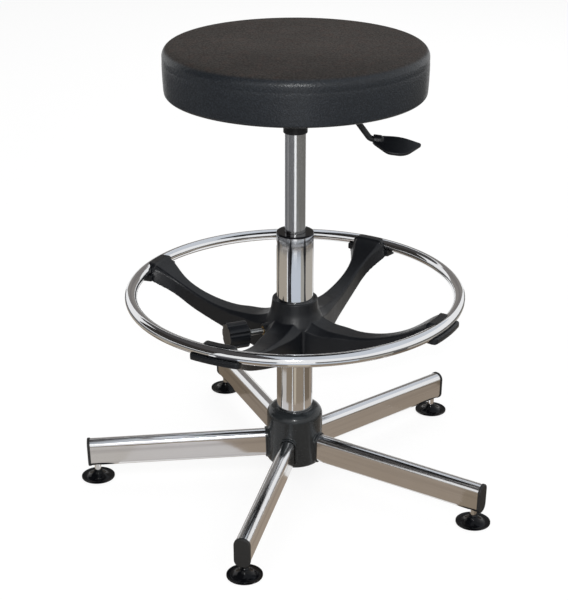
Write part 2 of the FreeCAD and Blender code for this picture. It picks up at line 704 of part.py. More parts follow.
def lever_bracket():
    """Bent strap under the plate whose ears hold the pivot pin."""
    inner = CAM_WIDTH / 2 + EAR_GAP
    outer = inner + EAR_THICKNESS
    start = PIVOT_X - EAR_HALF_LENGTH
    length = 2 * EAR_HALF_LENGTH
    foot = PIVOT_Z - EAR_BELOW_PIN
    drop = PLATE_BOTTOM - foot
    block = Part.makeBox(length, 2 * outer, drop, Vector(start, -outer, foot))
    room = Part.makeBox(length, 2 * inner, drop - BRACKET_STRAP, Vector(start, -inner, foot))
    centre = Vector(PIVOT_X, -outer, PIVOT_Z)
    hole = Part.makeCylinder(PIN_RADIUS + SLIP, 2 * outer, centre, Vector(0, 1, 0))
    return block.cut(room).cut(hole)


def lever_pivot_pin():
    """Pin that the lever turns on."""
    half = CAM_WIDTH / 2 + EAR_GAP + EAR_THICKNESS + PIN_OVERHANG
    return Part.makeCylinder(PIN_RADIUS, 2 * half, Vector(PIVOT_X, -half, PIVOT_Z), Vector(0, 1, 0))


def pin_clips():
    """Push-on clips at the pin's ends."""
    place = CAM_WIDTH / 2 + EAR_GAP + EAR_THICKNESS + SLIP
    clips = []
    for start in (place, -place - PIN_CLIP_THICKNESS):
        centre = Vector(PIVOT_X, start, PIVOT_Z)
        outer = PIN_RADIUS + PIN_CLIP_WIDTH
        clip = Part.makeCylinder(outer, PIN_CLIP_THICKNESS, centre, Vector(0, 1, 0))
        bore = Part.makeCylinder(PIN_RADIUS + SLIP, PIN_CLIP_THICKNESS, centre, Vector(0, 1, 0))
        clips.append(clip.cut(bore))
    return group(clips)


def lever_cam():
    """Steel cam: a tongue over the button, a boss on the pin and a socket for the rod."""
    tongue_bottom = CYLINDER_TOP + BUTTON_PROUD + CAM_BUTTON_GAP
    tongue_top = tongue_bottom + CAM_THICKNESS
    half = CAM_WIDTH / 2
    socket_top = LEVER_Z + LEVER_RADIUS + INSERT_WALL
    socket_bottom = LEVER_Z - LEVER_RADIUS - INSERT_WALL
    corners = [Vector(CAM_TIP, -half, tongue_bottom), Vector(CAM_TIP, -half, tongue_top),
               Vector(PIVOT_X, -half, PIVOT_Z + CAM_BOSS), Vector(CAM_END, -half, socket_top),
               Vector(CAM_END, -half, socket_bottom),
               Vector(LEVER_START - LEVER_RADIUS, -half, socket_bottom),
               Vector(PIVOT_X - CAM_BOSS, -half, tongue_bottom)]
    outline = rounded_wire(corners, {0: 1.0, 1: 1.0, 2: 4.0, 5: 2.0})
    cam = Part.Face(outline).extrude(Vector(0, CAM_WIDTH, 0))
    centre = Vector(PIVOT_X, -half, PIVOT_Z)
    pin = Part.makeCylinder(PIN_RADIUS + RUN, CAM_WIDTH, centre, Vector(0, 1, 0))
    return cam.cut(pin).cut(along_x(LEVER_RADIUS + SLIP, LEVER_START, CAM_END, LEVER_Z))


def lever_points():
    """Corners of the bent rod's centre line."""
    drop = math.tan(math.radians(LEVER_SLOPE)) * (LEVER_END - LEVER_SECOND_BEND)
    low = LEVER_Z - LEVER_STEEP_DROP
    return [Vector(LEVER_START, 0, LEVER_Z), Vector(LEVER_FIRST_BEND, 0, LEVER_Z),
            Vector(LEVER_SECOND_BEND, 0, low), Vector(LEVER_END, 0, low - drop)]


def lever_rod():
    """Bent steel rod."""
    points = lever_points()
    edges = []
    here = points[0]
    for before, corner, after in zip(points, points[1:], points[2:]):
        back = (before - corner).normalize()
        ahead = (after - corner).normalize()
        half = back.getAngle(ahead) / 2
        reach = BEND_RADIUS / math.tan(half)
        middle = corner + (back + ahead).normalize() * (BEND_RADIUS / math.sin(half) - BEND_RADIUS)
        edges.append(Part.makeLine(here, corner + back * reach))
        edges.append(Part.Arc(corner + back * reach, middle, corner + ahead * reach).toShape())
        here = corner + ahead * reach
    edges.append(Part.makeLine(here, points[-1]))
    section = Part.Wire(Part.makeCircle(LEVER_RADIUS, points[0], Vector(1, 0, 0)))
    return Part.Wire(edges).makePipeShell([section], True, False)


def lever_paddle():
    """Leaf-shaped grip, wider at its front edge, moulded on the rod's end."""
    corners = [Vector(0, PADDLE_BACK * 0.6, 0), Vector(PADDLE_LENGTH * 0.55, PADDLE_BACK, 0),
               Vector(PADDLE_LENGTH, 0, 0), Vector(PADDLE_LENGTH * 0.66, -PADDLE_FRONT, 0),
               Vector(PADDLE_LENGTH * 0.3, -PADDLE_FRONT, 0), Vector(0, -PADDLE_BACK * 0.9, 0)]
    wire = rounded_wire(corners, PADDLE_CORNERS)
    leaf = Part.Face(wire).extrude(Vector(0, 0, PADDLE_THICKNESS))
    rims = [e for e in leaf.Edges if e.BoundBox.ZMax - e.BoundBox.ZMin < 1e-3]
    leaf = leaf.makeFillet(PADDLE_ROUNDING, rims)
    leaf.translate(Vector(0, 0, -PADDLE_THICKNESS / 2))
    leaf.rotate(Vector(), Vector(1, 0, 0), PADDLE_TILT)
    boss = along_x(PADDLE_BOSS, 0, PADDLE_BOSS_LENGTH, 0)
    nose_edges = [e for e in boss.Edges if e.BoundBox.XMin > PADDLE_BOSS_LENGTH - 1e-3]
    paddle = leaf.fuse(boss.makeFillet(PADDLE_BOSS * 0.6, nose_edges))
    paddle.rotate(Vector(), Vector(0, 1, 0), LEVER_SLOPE)
    bend = lever_points()[2]
    reach = BEND_RADIUS * 0.4
    paddle.translate(bend + Vector(reach, 0, -reach * math.tan(math.radians(LEVER_SLOPE))))
    return paddle.cut(lever_rod())


def carrier_section(radius, top, bottom, shoulder, foot, bevel):
    """Six-sided section of a carrier arm, square to its length."""
    points = [Vector(radius, -foot, bottom), Vector(radius, -shoulder, top - bevel),
              Vector(radius, -shoulder + bevel, top), Vector(radius, shoulder - bevel, top),
              Vector(radius, shoulder, top - bevel), Vector(radius, foot, bottom)]
    return rounded_wire(points)


def arm_stations():
    """Radius, top, bottom, half widths and bevel of a carrier arm, from its root to its cradle."""
    root = COLLAR_RADIUS - ARM_ROOT_SINK
    length = RING_RADIUS - root
    inner = [(root + share * length, CARRIER_BOTTOM + top, CARRIER_BOTTOM + bottom, *widths)
             for share, top, bottom, *widths in INNER_STATIONS]
    outer = [(root + share * length, RING_HEIGHT - top, RING_HEIGHT - bottom, *widths)
             for share, top, bottom, *widths in OUTER_STATIONS]
    return inner + outer


def swept_about(section, corners, half_angle):
    """Closed section in the XZ plane, swept about the column's axis to both sides of +X."""
    face = Part.Face(rounded_wire([Vector(radius, 0, height) for radius, height in section], corners))
    face.rotate(Vector(), UP, -half_angle)
    return face.revolve(Vector(), UP, 2 * half_angle)


def cradle():
    """End of a carrier arm: a wall inside the ring, and a wider floor with a low outer lip."""
    inner = RING_RADIUS - RING_TUBE - CRADLE_WALL
    outer = RING_RADIUS + RING_TUBE + CRADLE_LIP
    top = RING_HEIGHT + CRADLE_RISE
    lip_top = RING_HEIGHT - CRADLE_LIP_DROP
    floor = swept_about(
        [(inner, CRADLE_BOTTOM), (outer, CRADLE_BOTTOM), (outer, lip_top), (inner, lip_top)],
        {0: 2.0, 1: 3.0, 2: 1.2, 3: 2.0}, CRADLE_HALF_ANGLE)
    bearings = [math.radians(CRADLE_HALF_ANGLE) * share for share in (-1, -0.5, 0, 0.5, 1)]
    reach = outer + 1
    rim = [Vector(reach * math.cos(b), reach * math.sin(b), CRADLE_BOTTOM) for b in bearings]
    back = [rim[-1] * (inner / outer), rim[0] * (inner / outer)]
    for point in back:
        point.z = CRADLE_BOTTOM
    plan = Part.Face(rounded_wire(rim + back, {0: CRADLE_LIP_ROUND, 4: CRADLE_LIP_ROUND}))
    floor = floor.common(plan.extrude(UP * (lip_top - CRADLE_BOTTOM)))
    wall = swept_about(
        [(inner, CRADLE_BOTTOM), (RING_RADIUS, CRADLE_BOTTOM), (RING_RADIUS, top), (inner, top)],
        {0: 2.0, 3: 2.0}, CRADLE_WALL_HALF_ANGLE + 2)
    half = RING_RADIUS * math.sin(math.radians(CRADLE_WALL_HALF_ANGLE))
    start = inner - RING_TUBE
    ear = Part.Face(rounded_wire(
        [Vector(start, -half, CRADLE_BOTTOM), Vector(start, half, CRADLE_BOTTOM),
         Vector(start, half, top), Vector(start, -half, top)],
        {2: CRADLE_EAR_ROUND, 3: CRADLE_EAR_ROUND}))
    wall = wall.common(ear.extrude(Vector(RING_RADIUS - start, 0, 0)))
    return floor.fuse(wall)


def ring_carrier():
    """Moulded carrier: a flared hub and four dished arms that end in cradles for the ring."""
    hub = turned(
        [(0, CARRIER_BOTTOM), (SKIRT_RADIUS, CARRIER_BOTTOM), (SKIRT_RADIUS, SKIRT_TOP),
         (WAIST_RADIUS, SKIRT_TOP + WAIST_RISE), (COLLAR_RADIUS, CARRIER_TOP), (0, CARRIER_TOP)],
        {1: 2.0, 2: 10.0, 3: 30.0})
    arm = Part.makeLoft([carrier_section(*station) for station in arm_stations()], True, False)
    ring_path = Part.makeTorus(RING_RADIUS, RING_TUBE + SLIP, Vector(0, 0, RING_HEIGHT))
    over_ring = tube(
        RING_RADIUS + 3 * RING_TUBE, RING_RADIUS, RING_HEIGHT, RING_HEIGHT + 2 * CRADLE_RISE)
    end = arm.fuse(cradle())
    body = hub
    for angle in CARRIER_ANGLES:
        body = body.fuse(turned_to(end, angle))
    boss = turned_to(along_x(BOSS_RADIUS, 0, BOSS_END, CLAMP_HEIGHT), CLAMP_ANGLE)
    body = body.fuse(boss)
    body = body.cut(ring_path).cut(over_ring)
    body = body.cut(disc(CARRIER_BORE, CARRIER_BOTTOM - 1, CARRIER_TOP + 1))
    bore = along_x(PAD_RADIUS + SOFT_GAP, 0, INSERT_START, CLAMP_HEIGHT)
    bore = bore.fuse(along_x(INSERT_RADIUS + SLIP, INSERT_START, BOSS_END + 1, CLAMP_HEIGHT))
    body = body.cut(turned_to(bore, CLAMP_ANGLE))
    hole = disc(RING_SCREW_RADIUS + RING_SCREW_GAP, CRADLE_BOTTOM - 1, RING_HEIGHT, RING_RADIUS)
    for angle in CARRIER_ANGLES:
        body = body.cut(turned_to(hole, angle))
    return body


def footring():
    """Chromed steel ring, tapped from below for its four screws."""
    centre = Vector(0, 0, RING_HEIGHT)
    ring = Part.makeTorus(RING_RADIUS, RING_TUBE, centre)
    ring = ring.cut(Part.makeTorus(RING_RADIUS, RING_TUBE - RING_WALL, centre))
    hole = disc(RING_SCREW_RADIUS + SLIP, CRADLE_BOTTOM, RING_HEIGHT, RING_RADIUS)
    for angle in CARRIER_ANGLES:
        ring = ring.cut(turned_to(hole, angle))
    return ring


def ring_screws():
    """Pan-head screws under the cradles."""
    head = disc(RING_SCREW_HEAD, CRADLE_BOTTOM - RING_SCREW_HEAD_HEIGHT, CRADLE_BOTTOM, RING_RADIUS)
    rim = [e for e in head.Edges if e.BoundBox.ZMax < CRADLE_BOTTOM - RING_SCREW_HEAD_HEIGHT + 1e-3]
    head = head.makeFillet(RING_SCREW_HEAD_HEIGHT * 0.6, rim)
    shank_top = RING_HEIGHT - RING_TUBE + RING_WALL + RING_SCREW_REACH
    screw = head.fuse(disc(RING_SCREW_RADIUS, CRADLE_BOTTOM, shank_top, RING_RADIUS))
    return group([turned_to(screw, angle) for angle in CARRIER_ANGLES])


def clamp_liner():
    """Slotted plastic liner that the carrier grips the column through."""
    flange_top = CARRIER_BOTTOM - SOFT_GAP
    bottom = flange_top - LINER_FLANGE_THICKNESS
    sleeve = tube(LINER_OUTER, LINER_INNER, bottom, CARRIER_TOP - SOFT_GAP)
    flange = tube(LINER_OUTER + LINER_FLANGE, LINER_INNER, bottom, flange_top)
    reach = LINER_OUTER + LINER_FLANGE + 1
    corner = Vector(0, -LINER_SLOT / 2, bottom)
    slot = Part.makeBox(reach, LINER_SLOT, CARRIER_TOP - bottom, corner)
    return sleeve.fuse(flange).cut(turned_to(slot, CLAMP_ANGLE + 180))


def clamp_insert():
    """Brass threaded insert in the carrier's boss."""
    bush = along_x(INSERT_RADIUS, INSERT_START, BOSS_END, CLAMP_HEIGHT)
    bush = bush.cut(along_x(STUD_RADIUS + RUN, INSERT_START, BOSS_END, CLAMP_HEIGHT))
    return turned_to(bush, CLAMP_ANGLE)


def clamp_pad():
    """Pad that the stud pushes against the liner."""
    pad = along_x(PAD_RADIUS, PAD_START, PAD_END, CLAMP_HEIGHT)
    pad = pad.cut(along_x(STUD_NOSE + RUN, STUD_TIP - SOFT_GAP, PAD_END, CLAMP_HEIGHT))
    return turned_to(pad, CLAMP_ANGLE)


def clamp_stud():
    """Threaded stud with a nose that turns in the pad."""
    shoulder = PAD_END + SOFT_GAP
    stud = along_x(STUD_NOSE, STUD_TIP, shoulder, CLAMP_HEIGHT)
    stud = stud.fuse(along_x(STUD_RADIUS, shoulder, KNOB_START + KNOB_SOCKET, CLAMP_HEIGHT))
    return turned_to(stud, CLAMP_ANGLE)


def stud_nut():
    """Nut that locks the knob on its stud."""
    nut = hexagon(2 * (STUD_RADIUS + NUT_WALL), 0, NUT_THICKNESS)
    nut = nut.cut(disc(STUD_RADIUS + SLIP, 0, NUT_THICKNESS))
    nut.rotate(Vector(), Vector(0, 1, 0), 90)
    nut.translate(Vector(KNOB_START - NUT_THICKNESS, 0, CLAMP_HEIGHT))
    return turned_to(nut, CLAMP_ANGLE)


def clamp_knob():
    """Fluted knob on the stud."""
    knob = disc(KNOB_RADIUS, 0, KNOB_LENGTH)
    knob = knob.makeFillet(KNOB_ROUNDING, [e for e in knob.Edges if len(e.Vertexes) == 1])
    flute = disc(KNOB_FLUTE_RADIUS, -1, KNOB_LENGTH + 1, KNOB_RADIUS + KNOB_FLUTE_SET_OUT)
    for n in range(KNOB_FLUTES):
        knob = knob.cut(turned_to(flute, 360.0 / KNOB_FLUTES * (n + 0.5)))
    knob = knob.cut(disc(STUD_RADIUS + SLIP, 0, KNOB_SOCKET + SLIP))
    knob.rotate(Vector(), Vector(0, 1, 0), 90)
    knob.translate(Vector(KNOB_START, 0, CLAMP_HEIGHT))
    return turned_to(knob, CLAMP_ANGLE)


def nodes():
    """Every piece of the stool by its node's name."""
    pieces = {
        "base_hub": base_hub(),
        "hub_core": hub_core(),
        "stem_bushes": group([turned_to(stem_bush(), angle) for angle in ARM_ANGLES]),
        "column_tube": column_tube(),
        "column_bush": column_bush(),
        "bearing_plate": bearing_plate(),
        "lower_race": race(BEARING_BOTTOM),
        "ball_cage": ball_cage(),
        "thrust_balls": thrust_balls(),
        "piston_rod": piston_rod(),
        "rod_clip": rod_clip(),
        "upper_race": race(UPPER_RACE_BOTTOM),
        "rod_buffer": rod_buffer(),
        "piston": piston(),
        "gas_cylinder": gas_cylinder(),
        "cylinder_guide": cylinder_guide(),
        "release_button": release_button(),
        "taper_socket": taper_socket(),
        "seat_plate": seat_plate(),
        "seat_board": seat_board(),
        "board_inserts": board_inserts(),
        "seat_screws": seat_screws(),
        "seat_washers": seat_washers(),
        "seat_cushion": seat_cushion(),
        "lever_bracket": lever_bracket(),
        "lever_pivot_pin": lever_pivot_pin(),
        "pin_clips": pin_clips(),
        "lever_cam": lever_cam(),
        "lever_rod": lever_rod(),
        "lever_paddle": lever_paddle(),
        "ring_carrier": ring_carrier(),
        "footring": footring(),
        "ring_screws": ring_screws(),
        "clamp_liner": clamp_liner(),
        "clamp_insert": clamp_insert(),
        "clamp_pad": clamp_pad(),
        "clamp_stud": clamp_stud(),
        "stud_nut": stud_nut(),
        "clamp_knob": clamp_knob(),
    }
    arm_pieces = {"arm": base_arm(), "end_cap": end_cap(), "glide_stem": glide_stem(), "glide": glide()}
    for number, angle in enumerate(ARM_ANGLES, start=1):
        for name, shape in arm_pieces.items():
            pieces[f"{name}_{number}"] = turned_to(shape, angle)
    return pieces


os.makedirs("parts", exist_ok=True)
for name, shape in nodes().items():
    shape.exportStep(f"parts/{name}.step")
    print(name, len(shape.Solids), shape.isValid(), round(shape.Volume))
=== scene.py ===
"""Soft and moulded forms, finishes and studio of a height-adjustable stool with a foot ring."""
import functools
import math

import bmesh
import bpy
from bpy.props import FloatProperty, FloatVectorProperty, IntProperty, PointerProperty
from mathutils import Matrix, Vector, noise


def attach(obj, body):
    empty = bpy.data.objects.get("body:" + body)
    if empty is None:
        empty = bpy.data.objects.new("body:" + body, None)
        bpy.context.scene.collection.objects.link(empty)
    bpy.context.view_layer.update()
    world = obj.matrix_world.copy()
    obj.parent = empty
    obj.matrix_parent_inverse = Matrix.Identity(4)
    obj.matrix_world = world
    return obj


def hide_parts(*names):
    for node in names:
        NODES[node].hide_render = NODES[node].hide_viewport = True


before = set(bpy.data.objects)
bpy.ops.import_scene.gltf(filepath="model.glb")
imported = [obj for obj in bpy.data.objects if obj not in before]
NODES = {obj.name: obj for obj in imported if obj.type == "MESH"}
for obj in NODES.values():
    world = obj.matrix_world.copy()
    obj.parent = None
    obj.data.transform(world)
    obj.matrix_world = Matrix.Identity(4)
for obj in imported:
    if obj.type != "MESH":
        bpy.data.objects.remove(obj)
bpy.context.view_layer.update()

bl_info = {
    "name": "Stool with footrest",
    "version": (1, 0, 0),
    "blender": (4, 5, 0),
    "location": "View3D > Sidebar > Stool",
    "description": "Seat, mouldings, finishes and studio of a stool with a foot ring",
    "category": "Object",
}

# How the base arms lie, for the streaks and painted reflections in their chrome.
ARM_COUNT = 5
FIRST_ARM = math.radians(-102.9)
ARM_FALL = math.tan(math.radians(1.335))
ARM_MIDDLE = 0.046
ARM_START = 0.030

# How finely the parts of the seat's section are drawn.
TOP_STEPS = 40
SHOULDER_STEPS = 14
SIDE_STEPS = 12
HEEL_STEPS = 10

# Small forms of the seat, in metres.
SEAM_HALF_WIDTH = 0.0010
SEAM_DEPTH = 0.00012
SIDE_BULGE = 0.0002
SIDE_TAPER = 0.0012
BOARD_GAP = 0.0004
POCKET_CHAMFER = 0.0012
FOAM_SWELL = 0.0004
SWELLS_PER_METRE = 9

# How far below the rim the side's look starts to give way to the top's, and where it has.
SIDE_LOOK_END = 0.0055
TOP_LOOK_START = 0.0015

# Roughness, width and depth of the grain in metres, clear coat and reflection of each plastic.
PLASTICS = {
    "satin": (0.34, 0.0011, 0.00010, 0.0, 0.36),
    "gloss": (0.22, 0.0016, 0.00003, 0.2, 0.3),
    "deep": (0.12, 0.0016, 0.00002, 0.0, 0.16),
    "matte": (0.5, 0.0008, 0.00010, 0.0, 0.3),
}

# The floor: its radius and level in metres, how bright it shows, and how much of that is its own.
FLOOR_RADIUS = 9.0
FLOOR_LEVEL = -0.0004
FLOOR_GLOW = 1.04
FLOOR_GLOW_SHARE = 0.8

# Where the cards stand, in metres, and how finely those on the floor are drawn, in degrees.
CARD_LEVEL = 0.0006
CARD_STEP = 5
CEILING = 2.6
BACK_WALL = 3
BACK_HALF_WIDTH = 1.7
LEFT_WALL = -2.6

# Name, place and width in metres of each large lamp, and the setting that holds its power.
LARGE_LAMPS = (
    ("key_lamp", (-1.5, -1.9, 2.5), 3.0, "key"),
    ("fill_lamp", (2.3, -1.2, 1.9), 2.4, "fill"),
    ("rim_lamp", (0.6, 2.4, 2.2), 2.2, "fill"),
)
LAMP_TARGET = Vector((0, 0, 0.35))
FLASH_RISE = 0.07
FLASH_WIDTH = 0.05

# How far the camera aims aside and up from straight ahead, which frames the stool as pictured.
AIM_ASIDE = -0.00752
AIM_UP = -0.0042


def paint(red, green, blue):
    """A colour given as it shows on a screen, 0 to 255, as Blender mixes it."""
    parts = [part / 255 for part in (red, green, blue)]
    linear = [p / 12.92 if p <= 0.04045 else ((p + 0.055) / 1.055) ** 2.4 for p in parts]
    return (*linear, 1.0)


def toned(colour, red, green, blue):
    """A colour with each part made weaker or stronger."""
    return (colour[0] * red, colour[1] * green, colour[2] * blue, 1.0)


class Channel:
    """A number in a material. Arithmetic on it adds Math nodes."""

    def __init__(self, finish, socket):
        self.finish = finish
        self.socket = socket

    def math(self, operation, *values):
        """The result of one Math node."""
        settings = {"operation": operation}
        made = self.finish.node("ShaderNodeMath", settings, dict(enumerate(values)))
        return Channel(self.finish, made.outputs[0])

    def __add__(self, other):
        return self.math("ADD", self, other)

    __radd__ = __add__

    def __sub__(self, other):
        return self.math("SUBTRACT", self, other)

    def __rsub__(self, other):
        return self.math("SUBTRACT", other, self)

    def __mul__(self, other):
        return self.math("MULTIPLY", self, other)

    __rmul__ = __mul__

    def __pow__(self, other):
        return self.math("POWER", self, other)

    def rise(self, low, high):
        """0 below low, 1 above high and a soft step between."""
        settings = {"interpolation_type": "SMOOTHSTEP"}
        made = self.finish.node("ShaderNodeMapRange", settings, {"Value": self, 1: low, 2: high})
        return Channel(self.finish, made.outputs[0])


class Finish:
    """A material, or the light of the room, and what is plugged together in it."""

    def __init__(self, name, owner=None):
        self.material = owner or bpy.data.materials.new(name)
        self.material.use_nodes = True
        self.nodes = self.material.node_tree.nodes
        self.links = self.material.node_tree.links
        self.nodes.clear()

    @functools.cached_property
    def place(self):
        """Where a point lies on its piece, in metres."""
        return self.node("ShaderNodeTexCoord", {}, {}).outputs["Object"]

    def node(self, kind, settings, inputs):
        """Adds one node: its settings first, then the values or links of its sockets."""
        made = self.nodes.new(kind)
        for name, value in settings.items():
            setattr(made, name, value)
        for name, value in inputs.items():
            if isinstance(value, Channel):
                value = value.socket
            if isinstance(value, bpy.types.NodeSocket):
                self.links.new(value, made.inputs[name])
            else:
                made.inputs[name].default_value = value
        return made

    def axes(self, vector):
        """The three numbers of a vector."""
        made = self.node("ShaderNodeSeparateXYZ", {}, {0: vector})
        return [Channel(self, made.outputs[n]) for n in range(3)]

    def scaled(self, vector, x, y, z):
        """A vector with each axis stretched."""
        settings = {"operation": "MULTIPLY"}
        return self.node("ShaderNodeVectorMath", settings, {0: vector, 1: (x, y, z)}).outputs[0]

    def joined(self, x, y, z):
        """A vector of three numbers."""
        return self.node("ShaderNodeCombineXYZ", {}, {0: x, 1: y, 2: z}).outputs[0]

    def cloud(self, scale, detail, rough, vector=None):
        """Soft random variation, about 0.5 on average."""
        place = vector or self.place
        values = {"Vector": place, "Scale": scale, "Detail": detail, "Roughness": rough}
        return Channel(self, self.node("ShaderNodeTexNoise", {}, values).outputs[0])

    def cells(self, scale, feature):
        """Distance inside irregular cells."""
        values = {"Vector": self.place, "Scale": scale}
        made = self.node("ShaderNodeTexVoronoi", {"feature": feature}, values)
        return Channel(self, made.outputs["Distance"])

    def mixed(self, factor, first, second, mode="MIX"):
        """A colour between two colours."""
        settings = {"data_type": "RGBA", "blend_type": mode}
        return self.node("ShaderNodeMix", settings, {0: factor, 6: first, 7: second}).outputs[2]

    def shaded(self, colour, share):
        """A colour that varies, made weaker or stronger."""
        return self.mixed(1.0, colour, (share, share, share, 1.0), "MULTIPLY")

    def seen(self):
        """1 where the camera, a reflection or a clear material looks, 0 elsewhere."""
        path = self.node("ShaderNodeLightPath", {}, {})
        names = ("Camera", "Glossy", "Transmission")
        camera, glossy, clear = (Channel(self, path.outputs[f"Is {name} Ray"]) for name in names)
        either = camera.math("MAXIMUM", camera, glossy)
        return either.math("MAXIMUM", either, clear)

    def relief(self, height, strength, depth, under=None):
        """A surface direction that follows a height."""
        values = {"Height": height, "Strength": strength, "Distance": depth}
        if under is not None:
            values["Normal"] = under
        return self.node("ShaderNodeBump", {}, values).outputs["Normal"]

    def surface(self, **values):
        """A surface with these values; underscores in their names stand for spaces."""
        inputs = {name.replace("_", " "): value for name, value in values.items()}
        return self.node("ShaderNodeBsdfPrincipled", {}, inputs).outputs["BSDF"]

    def end(self, surface):
        """Ends the material in this surface and gives the material."""
        self.node("ShaderNodeOutputMaterial", {}, {"Surface": surface})
        return self.material

    def shine(self, **values):
        """Ends the material in a surface with these values."""
        return self.end(self.surface(**values))


class StoolSeatSettings(bpy.types.PropertyGroup):
    """Sizes and colours of the seat."""

    radius: FloatProperty(
        name="Radius", description="Of the foam seat", default=0.1705, unit="LENGTH", min=0.05)
    bottom: FloatProperty(
        name="Underside", description="Height of the foam's underside", default=0.5525,
        unit="LENGTH")
    thickness: FloatProperty(
        name="Thickness", description="At the middle of the seat", default=0.0635, unit="LENGTH")
    crown: FloatProperty(
        name="Crown", description="How far the middle stands above the rim", default=0.0015,
        unit="LENGTH")
    top_rounding: FloatProperty(
        name="Top edge", description="Rounding of the top edge", default=0.0125, unit="LENGTH")
    bottom_rounding: FloatProperty(
        name="Bottom edge", description="Rounding of the bottom edge", default=0.005,
        unit="LENGTH")
    parting: FloatProperty(
        name="Parting line", description="Below the rim, where the mould's halves met",
        default=0.0185, unit="LENGTH")
    board_radius: FloatProperty(
        name="Board", description="Radius of the board set in the underside", default=0.140,
        unit="LENGTH")
    board_depth: FloatProperty(
        name="Board depth", description="Thickness of the board", default=0.012, unit="LENGTH")
    segments: IntProperty(name="Segments", description="Round the seat", default=192, min=24)
    grain: FloatProperty(
        name="Grain", description="Width of the skin's pebbles", default=0.0021, unit="LENGTH")
    grain_depth: FloatProperty(
        name="Grain depth", description="Height of the skin's pebbles", default=0.0004,
        unit="LENGTH")
    # The top's colour is lighter and browner than the side's: partly the skin's own tone, partly
    # painted light.
    lit_top_colour: FloatVectorProperty(
        name="Top", description="Colour of the worn top", subtype="COLOR", size=4,
        default=paint(54, 51, 49), min=0, max=1)
    side_colour: FloatVectorProperty(
        name="Side", description="Colour of the side", subtype="COLOR", size=4,
        default=paint(26, 29, 33), min=0, max=1)


class StoolMetalSettings(bpy.types.PropertyGroup):
    """Colours and polish of the metal parts."""

    chrome: FloatVectorProperty(
        name="Chrome", description="Bright chrome plate", subtype="COLOR", size=4,
        default=paint(228, 229, 231), min=0, max=1)
    chrome_roughness: FloatProperty(
        name="Chrome roughness", description="Of the column and the ring", default=0.06,
        subtype="FACTOR", min=0, max=1)
    arm_roughness: FloatProperty(
        name="Arm roughness", description="Of the base arms", default=0.11, subtype="FACTOR",
        min=0, max=1)
    satin: FloatVectorProperty(
        name="Satin chrome", description="Ground and plated cylinder", subtype="COLOR", size=4,
        default=paint(230, 231, 233), min=0, max=1)
    satin_roughness: FloatProperty(
        name="Satin roughness", description="Of the cylinder", default=0.13, subtype="FACTOR",
        min=0, max=1)
    zinc: FloatVectorProperty(
        name="Zinc", description="Plated screws and nuts", subtype="COLOR", size=4,
        default=paint(176, 178, 178), min=0, max=1)
    steel: FloatVectorProperty(
        name="Steel", description="Bare steel inside", subtype="COLOR", size=4,
        default=paint(128, 126, 122), min=0, max=1)
    brass: FloatVectorProperty(
        name="Brass", description="Threaded insert", subtype="COLOR", size=4,
        default=paint(178, 146, 84), min=0, max=1)


class StoolMouldingSettings(bpy.types.PropertyGroup):
    """Colours of the plastic parts, and how finely their rounded forms are made."""

    gloss: FloatVectorProperty(
        name="Gloss black", description="Base hub", subtype="COLOR", size=4,
        default=paint(33, 36, 38), min=0, max=1)
    deep: FloatVectorProperty(
        name="Deep black", description="Column bush and feet", subtype="COLOR", size=4,
        default=paint(8, 9, 12), min=0, max=1)
    satin: FloatVectorProperty(
        name="Satin black", description="Ring carrier, paddle and knob", subtype="COLOR", size=4,
        default=paint(14, 16, 20), min=0, max=1)
    matte: FloatVectorProperty(
        name="Matte black", description="End caps", subtype="COLOR", size=4,
        default=paint(34, 34, 34), min=0, max=1)
    painted: FloatVectorProperty(
        name="Black paint", description="Seat plate, socket, bracket and lever", subtype="COLOR",
        size=4, default=paint(19, 20, 22), min=0, max=1)
    carrier_step: FloatProperty(
        name="Carrier step", description="Grid of the ring carrier's rounded form", default=0.0009,
        unit="LENGTH", precision=5)
    hub_step: FloatProperty(
        name="Hub step", description="Grid of the hub's rounded form", default=0.0007,
        unit="LENGTH", precision=5)
    paddle_step: FloatProperty(
        name="Paddle step", description="Grid of the paddle's rounded form", default=0.0005,
        unit="LENGTH", precision=5)


class StoolStageSettings(bpy.types.PropertyGroup):
    """Camera, lamps and floor."""

    eye: FloatVectorProperty(
        name="Camera", description="Where the camera stands", subtype="TRANSLATION", size=3,
        default=(0.0, -1.82268, 1.03687))
    pitch: FloatProperty(
        name="Pitch", description="How far the camera looks down", subtype="ANGLE",
        default=math.radians(22.79))
    lens: FloatProperty(
        name="Lens", description="Focal length in millimetres", default=87.207, min=10)
    room: FloatProperty(
        name="Room", description="Light from all round", default=0.5, min=0)
    key: FloatProperty(
        name="Key lamp", description="Power of the large lamp, front left", default=38.0, min=0,
        unit="POWER")
    flash: FloatProperty(
        name="Flash", description="Power of the small lamp over the camera", default=14.0, min=0,
        unit="POWER")
    fill: FloatProperty(
        name="Fill lamps", description="Power of the lamps on the right and behind", default=26.0,
        min=0, unit="POWER")
    floor: FloatVectorProperty(
        name="Floor", description="Colour of the floor", subtype="COLOR", size=4,
        default=(0.93, 0.93, 0.93, 1.0), min=0, max=1)


def arc(centre_r, centre_z, radius, start, end, steps):
    """Points of an arc in a turned outline, angles in degrees from straight out."""
    angles = [math.radians(start + (end - start) * n / steps) for n in range(steps + 1)]
    return [(centre_r + radius * math.cos(a), centre_z + radius * math.sin(a)) for a in angles]


def placed(name, data):
    """A new object in the scene."""
    made = bpy.data.objects.new(name, data)
    bpy.context.scene.collection.objects.link(made)
    return made


def aim(thing, direction):
    """Turns a lamp or the camera to look in a direction, with its top up."""
    thing.rotation_mode = "QUATERNION"
    thing.rotation_quaternion = direction.to_track_quat("-Z", "Y")


def add_piece(name, mesh, body, finish):
    """Adds a mesh as a smooth piece that rides on a body."""
    piece = placed(name, mesh)
    for face in mesh.polygons:
        face.use_smooth = True
    mesh.materials.clear()
    mesh.materials.append(finish)
    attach(piece, body)
    return piece


